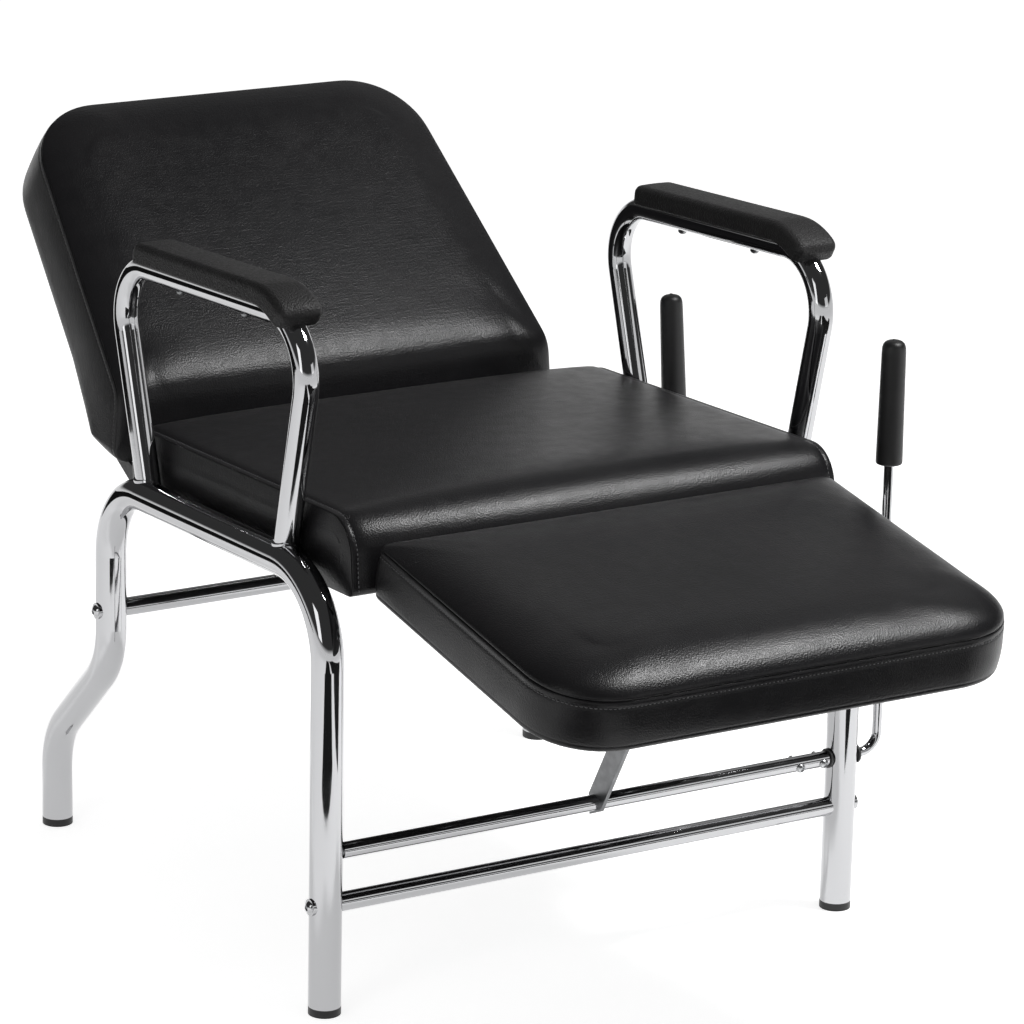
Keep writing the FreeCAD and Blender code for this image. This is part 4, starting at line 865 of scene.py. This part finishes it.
# Arm pads
def make_arm_pads():
    rear, front, base = (np.array(p) for p in (ARM_REAR_TOP, ARM_FRONT_TOP, ARM_FRONT_BASE))
    way = unit(front - rear)
    up = np.array([way[1], -way[0]])
    half = math.acos(unit(rear - front) @ unit(base - front)) / 2
    start = rear + way * (rear[0] - PAD_REAR_Y) / -way[0]
    bend_start = front - way * ARM_BEND / math.tan(half)
    straight = np.linalg.norm(bend_start - start)
    total = straight + ARM_BEND * PAD_WRAP
    corners = [(-PAD_HALF, PAD_LOW), (PAD_HALF, PAD_LOW),
               (PAD_TOP_HALF, PAD_HIGH), (-PAD_TOP_HALF, PAD_HIGH)]
    nu, nv = (steps + PAD_CORNER_STEPS for steps in PAD_SIDE_STEPS[:2])
    ends = PAD_END_ROUND * np.array([0.0, 0.04, 0.12, 0.25, 0.45, 0.7, 1.0])
    middle = np.linspace(PAD_END_ROUND, total - PAD_END_ROUND, PAD_STATIONS)[1:-1]
    stations = [*ends, *middle, *(total - ends[::-1])]
    for side, sign in (("right", 1), ("left", -1)):
        rings = []
        for run in stations:
            turn = max(run - straight, 0) / ARM_BEND
            rise = up * math.cos(turn) + way * math.sin(turn)
            spot = start + way * min(run, straight)
            if turn:
                spot = bend_start - up * ARM_BEND + rise * ARM_BEND
            share = min(run, total - run) / PAD_END_ROUND
            shrink = PAD_END_ROUND * PAD_END_SHRINK * (1 - roll(min(share, 1)))
            shape = inset(corners, shrink)
            shape[:, 1] -= np.where(shape[:, 1] < (PAD_LOW + PAD_HIGH) / 2, shrink, 0)
            top_round = max(PAD_ROUND - shrink, PAD_LEAST_ROUND)
            rounds = [PAD_LOW_ROUND, PAD_LOW_ROUND, top_round, top_round]
            flat = outline(shape, rounds, PAD_SIDE_STEPS, PAD_CORNER_STEPS)
            high = np.clip((flat[:, 1] - PAD_CROWN_START) / PAD_CROWN_REACH, 0, 1)
            flat[:, 1] += PAD_CROWN * high * (1 - (flat[:, 0] / PAD_HALF) ** 2)
            yz = spot + flat[:, 1:] * rise
            rings.append(np.column_stack([sign * (ARM_X + flat[:, 0]), yz]) * MM)
        rings = np.array(rings)
        points, faces = lofted(rings, coons(rings[0], nu, nv), coons(rings[-1], nu, nv))
        faces = facing_out(points, faces)
        pad = make_object(f"{side}_arm_pad_skin", points, faces, finishes["arm_pad_skin"], levels=1)
        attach(pad, "frame")
        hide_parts(f"{side}_arm_pad")


# Lever grips
def make_grip(name, top, lean, body, node):
    """Grip turned about its rod: square lower end, slight taper, domed top with a small moulding mark."""
    low = GRIP_LOW_RADIUS
    high = GRIP_HIGH_RADIUS
    start = GRIP_LOW_END
    # Radius and height of each ring: rod hole and lower end, taper, domed top
    profile = [(5.2, 0.6), (5.2, 0), (11.8, 0), (13.0, 0.4), (low, 1.6), (low, start)]
    shoulder = GRIP_LENGTH - GRIP_DOME
    profile += [(low + (high - low) * k / GRIP_STEPS, start + (shoulder - start) * k / GRIP_STEPS)
                for k in range(1, GRIP_STEPS + 1)]
    cap = [(12.0, -7.8), (11.0, -4.7), (9.0, -2.4), (6.2, -1.1), (3.2, -0.6), (2.1, -0.5), (1.9, 0.0),
           (1.2, 0.3)]
    profile += [(radius, GRIP_LENGTH + above) for radius, above in cap]
    turns = np.linspace(0, 2 * math.pi, GRIP_SIDES + 1)[:-1]
    axis = np.array([0, math.sin(lean), math.cos(lean)])
    side = np.array([1.0, 0, 0])
    front = np.cross(axis, side)
    foot = np.array([LEVER_X, *top]) - axis * GRIP_LENGTH
    spokes = [math.cos(a) * side + math.sin(a) * front for a in turns]
    rings = np.array([[(foot + axis * t + r * spoke) * MM for spoke in spokes] for r, t in profile])
    count = len(turns)
    here = np.arange(count)
    after = np.roll(here, -1)
    faces = [tuple(here[::-1])]
    for k in range(len(rings) - 1):
        under, over = k * count, (k + 1) * count
        faces += list(np.stack([under + here, under + after, over + after, over + here], 1))
    faces.append(tuple((len(rings) - 1) * count + here))
    grip = make_object(name, rings.reshape(-1, 3), faces, finishes["black_plastic"], levels=1)
    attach(grip, body)
    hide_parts(node)


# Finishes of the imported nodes
def finish_nodes():
    for subpart in frame["record"]["subparts"]:
        node = frame["nodes"][subpart["node"]]
        slot = "dull_steel" if subpart["node"] in DULL_NODES else subpart["material_slot"]
        finish = finishes.get(slot)
        if finish:
            node.data.materials.clear()
            node.data.materials.append(finish)


# Studio
def make_floor():
    finish = Finish("floor", base_color=(0.8, 0.8, 0.8, 1), roughness=0.9, specular_ior_level=0.1)
    light = finish.node("ShaderNodeLightPath")
    rays = [light.outputs[f"Is {kind} Ray"] for kind in ("Camera", "Glossy", "Transmission")]
    seen = finish.node("ShaderNodeMath", {0: rays[0], 1: rays[1]}, operation="ADD").outputs[0]
    seen = finish.node("ShaderNodeMath", {0: seen, 1: rays[2]}, operation="ADD", use_clamp=True).outputs[0]
    share = finish.node("ShaderNodeMath", {0: seen, 1: FLOOR_GLOW}, operation="MULTIPLY").outputs[0]
    finish.shader.inputs["Emission Color"].default_value = (1, 1, 1, 1)
    finish.set("Emission Strength", share)
    half = FLOOR_HALF
    spots = [(-half, -half), (half, -half), (half, half), (-half, half)]
    points = [(*spot, FLOOR_Z) for spot in spots]
    floor = make_object("floor", points, [(0, 1, 2, 3)], finish.material)


def make_painted_reflection_sheet():
    """Dark sheets over the studio floor that only the gloss of the chair shows: painted dark reflections,
    where the camera sees the floor white.
    """
    ahead = Vector(CAMERA_AT[:2]).normalized()
    across = Vector((-ahead.y, ahead.x))

    def sheet_ahead(aheads, acrosses):
        near, far = (ahead * a for a in aheads)
        left, right = (across * a for a in acrosses)
        return [near + left, near + right, far + right, far + left]

    (low_x, low_y), (high_x, high_y) = REAR_PAINTED_REFLECTION
    sheets = {
        "painted_reflection_sheet": sheet_ahead(PAINTED_REFLECTION_AHEAD, PAINTED_REFLECTION_ACROSS),
        "right_painted_reflection_sheet": sheet_ahead(RIGHT_PAINTED_REFLECTION_AHEAD, RIGHT_PAINTED_REFLECTION_ACROSS),
        "rear_painted_reflection_sheet": [(low_x, low_y), (high_x, low_y), (high_x, high_y), (low_x, high_y)],
    }
    finish = Finish("painted_reflection_sheet", base_color=(0.02, 0.02, 0.02, 1), roughness=0.9, specular_ior_level=0.1)
    for name, spots in sheets.items():
        points = [(*spot, PAINTED_REFLECTION_Z) for spot in spots]
        sheet = make_object(name, points, [(0, 1, 2, 3)], finish.material)
        # Hidden from the camera, diffuse light and shadows, so that these dark sheets only paint dark
        # reflections.
        sheet.visible_camera = sheet.visible_diffuse = sheet.visible_shadow = False


def make_world():
    """White to the camera, plain light to the chair, and pale only near the horizon to its gloss."""
    world = bpy.data.worlds.new("studio")
    bpy.context.scene.world = world
    world.use_nodes = True
    nodes, links = world.node_tree.nodes, world.node_tree.links
    background = nodes["Background"]
    place = nodes.new("ShaderNodeTexCoord")
    split = nodes.new("ShaderNodeSeparateXYZ")
    links.new(place.outputs["Generated"], split.inputs[0])
    ramp = nodes.new("ShaderNodeValToRGB")
    links.new(split.outputs["Z"], ramp.inputs["Fac"])
    for element, (height, tone) in zip(ramp.color_ramp.elements, WORLD_GLOSS):
        element.position = height
        element.color = (tone, tone, tone, 1)
    light = nodes.new("ShaderNodeLightPath")
    mirror = nodes.new("ShaderNodeMix")
    mirror.data_type = "RGBA"
    mirror.inputs["A"].default_value = (WORLD_LIGHT, WORLD_LIGHT, WORLD_LIGHT, 1)
    either = nodes.new("ShaderNodeMath")
    either.operation = "ADD"
    either.use_clamp = True
    links.new(light.outputs["Is Glossy Ray"], either.inputs[0])
    links.new(light.outputs["Is Transmission Ray"], either.inputs[1])
    links.new(either.outputs[0], mirror.inputs["Factor"])
    links.new(ramp.outputs["Color"], mirror.inputs["B"])
    seen = nodes.new("ShaderNodeMix")
    seen.data_type = "RGBA"
    links.new(light.outputs["Is Camera Ray"], seen.inputs["Factor"])
    links.new(mirror.outputs["Result"], seen.inputs["A"])
    seen.inputs["B"].default_value = (1, 1, 1, 1)
    links.new(seen.outputs["Result"], background.inputs["Color"])


def softbox(name, place, target, size, power):
    """Area lamp aimed at the target, which the camera does not see."""
    lamp = bpy.data.lights.new(name, "AREA")
    lamp.shape = "RECTANGLE"
    lamp.size, lamp.size_y = size
    lamp.energy = power
    holder = bpy.data.objects.new(name, lamp)
    holder.location = place
    holder.rotation_euler = (Vector(target) - Vector(place)).to_track_quat("-Z", "Y").to_euler()
    holder.visible_camera = False
    bpy.context.scene.collection.objects.link(holder)


def make_camera():
    """Camera at the photo's place, aimed by its yaw, pitch and roll."""
    level = math.cos(CAMERA_PITCH)
    forward = Vector((-math.sin(CAMERA_YAW) * level, math.cos(CAMERA_YAW) * level,
                      -math.sin(CAMERA_PITCH)))
    right = forward.cross(Vector((0, 0, 1))).normalized()
    up = right.cross(forward)
    c, s = math.cos(CAMERA_ROLL), math.sin(CAMERA_ROLL)
    right, up = c * right + s * up, c * up - s * right
    camera = bpy.data.cameras.new("camera")
    camera.lens = CAMERA_LENS
    camera.sensor_width = SENSOR
    camera.clip_end = 200
    holder = bpy.data.objects.new("camera", camera)
    holder.matrix_world = Matrix((right, up, -forward)).transposed().to_4x4()
    holder.location = CAMERA_AT
    bpy.context.scene.collection.objects.link(holder)
    bpy.context.scene.camera = holder


make_legrest()
make_backrest()
make_seat()
make_arm_pads()
make_grip("legrest_grip", LEG_LEVER_TOP, 0.0, "legrest_lever", "legrest_lever_grip")
make_grip("recline_grip", RECLINE_LEVER_TOP, RECLINE_LEVER_LEAN, "recline_lever", "recline_lever_grip")
finish_nodes()
make_floor()
make_world()
make_painted_reflection_sheet()
for lamp_name, (lamp_place, lamp_size, lamp_power) in LAMPS.items():
    softbox(lamp_name, lamp_place, CHAIR_MIDDLE, lamp_size, lamp_power)
make_camera()
bpy.context.scene.view_settings.view_transform = "Standard"
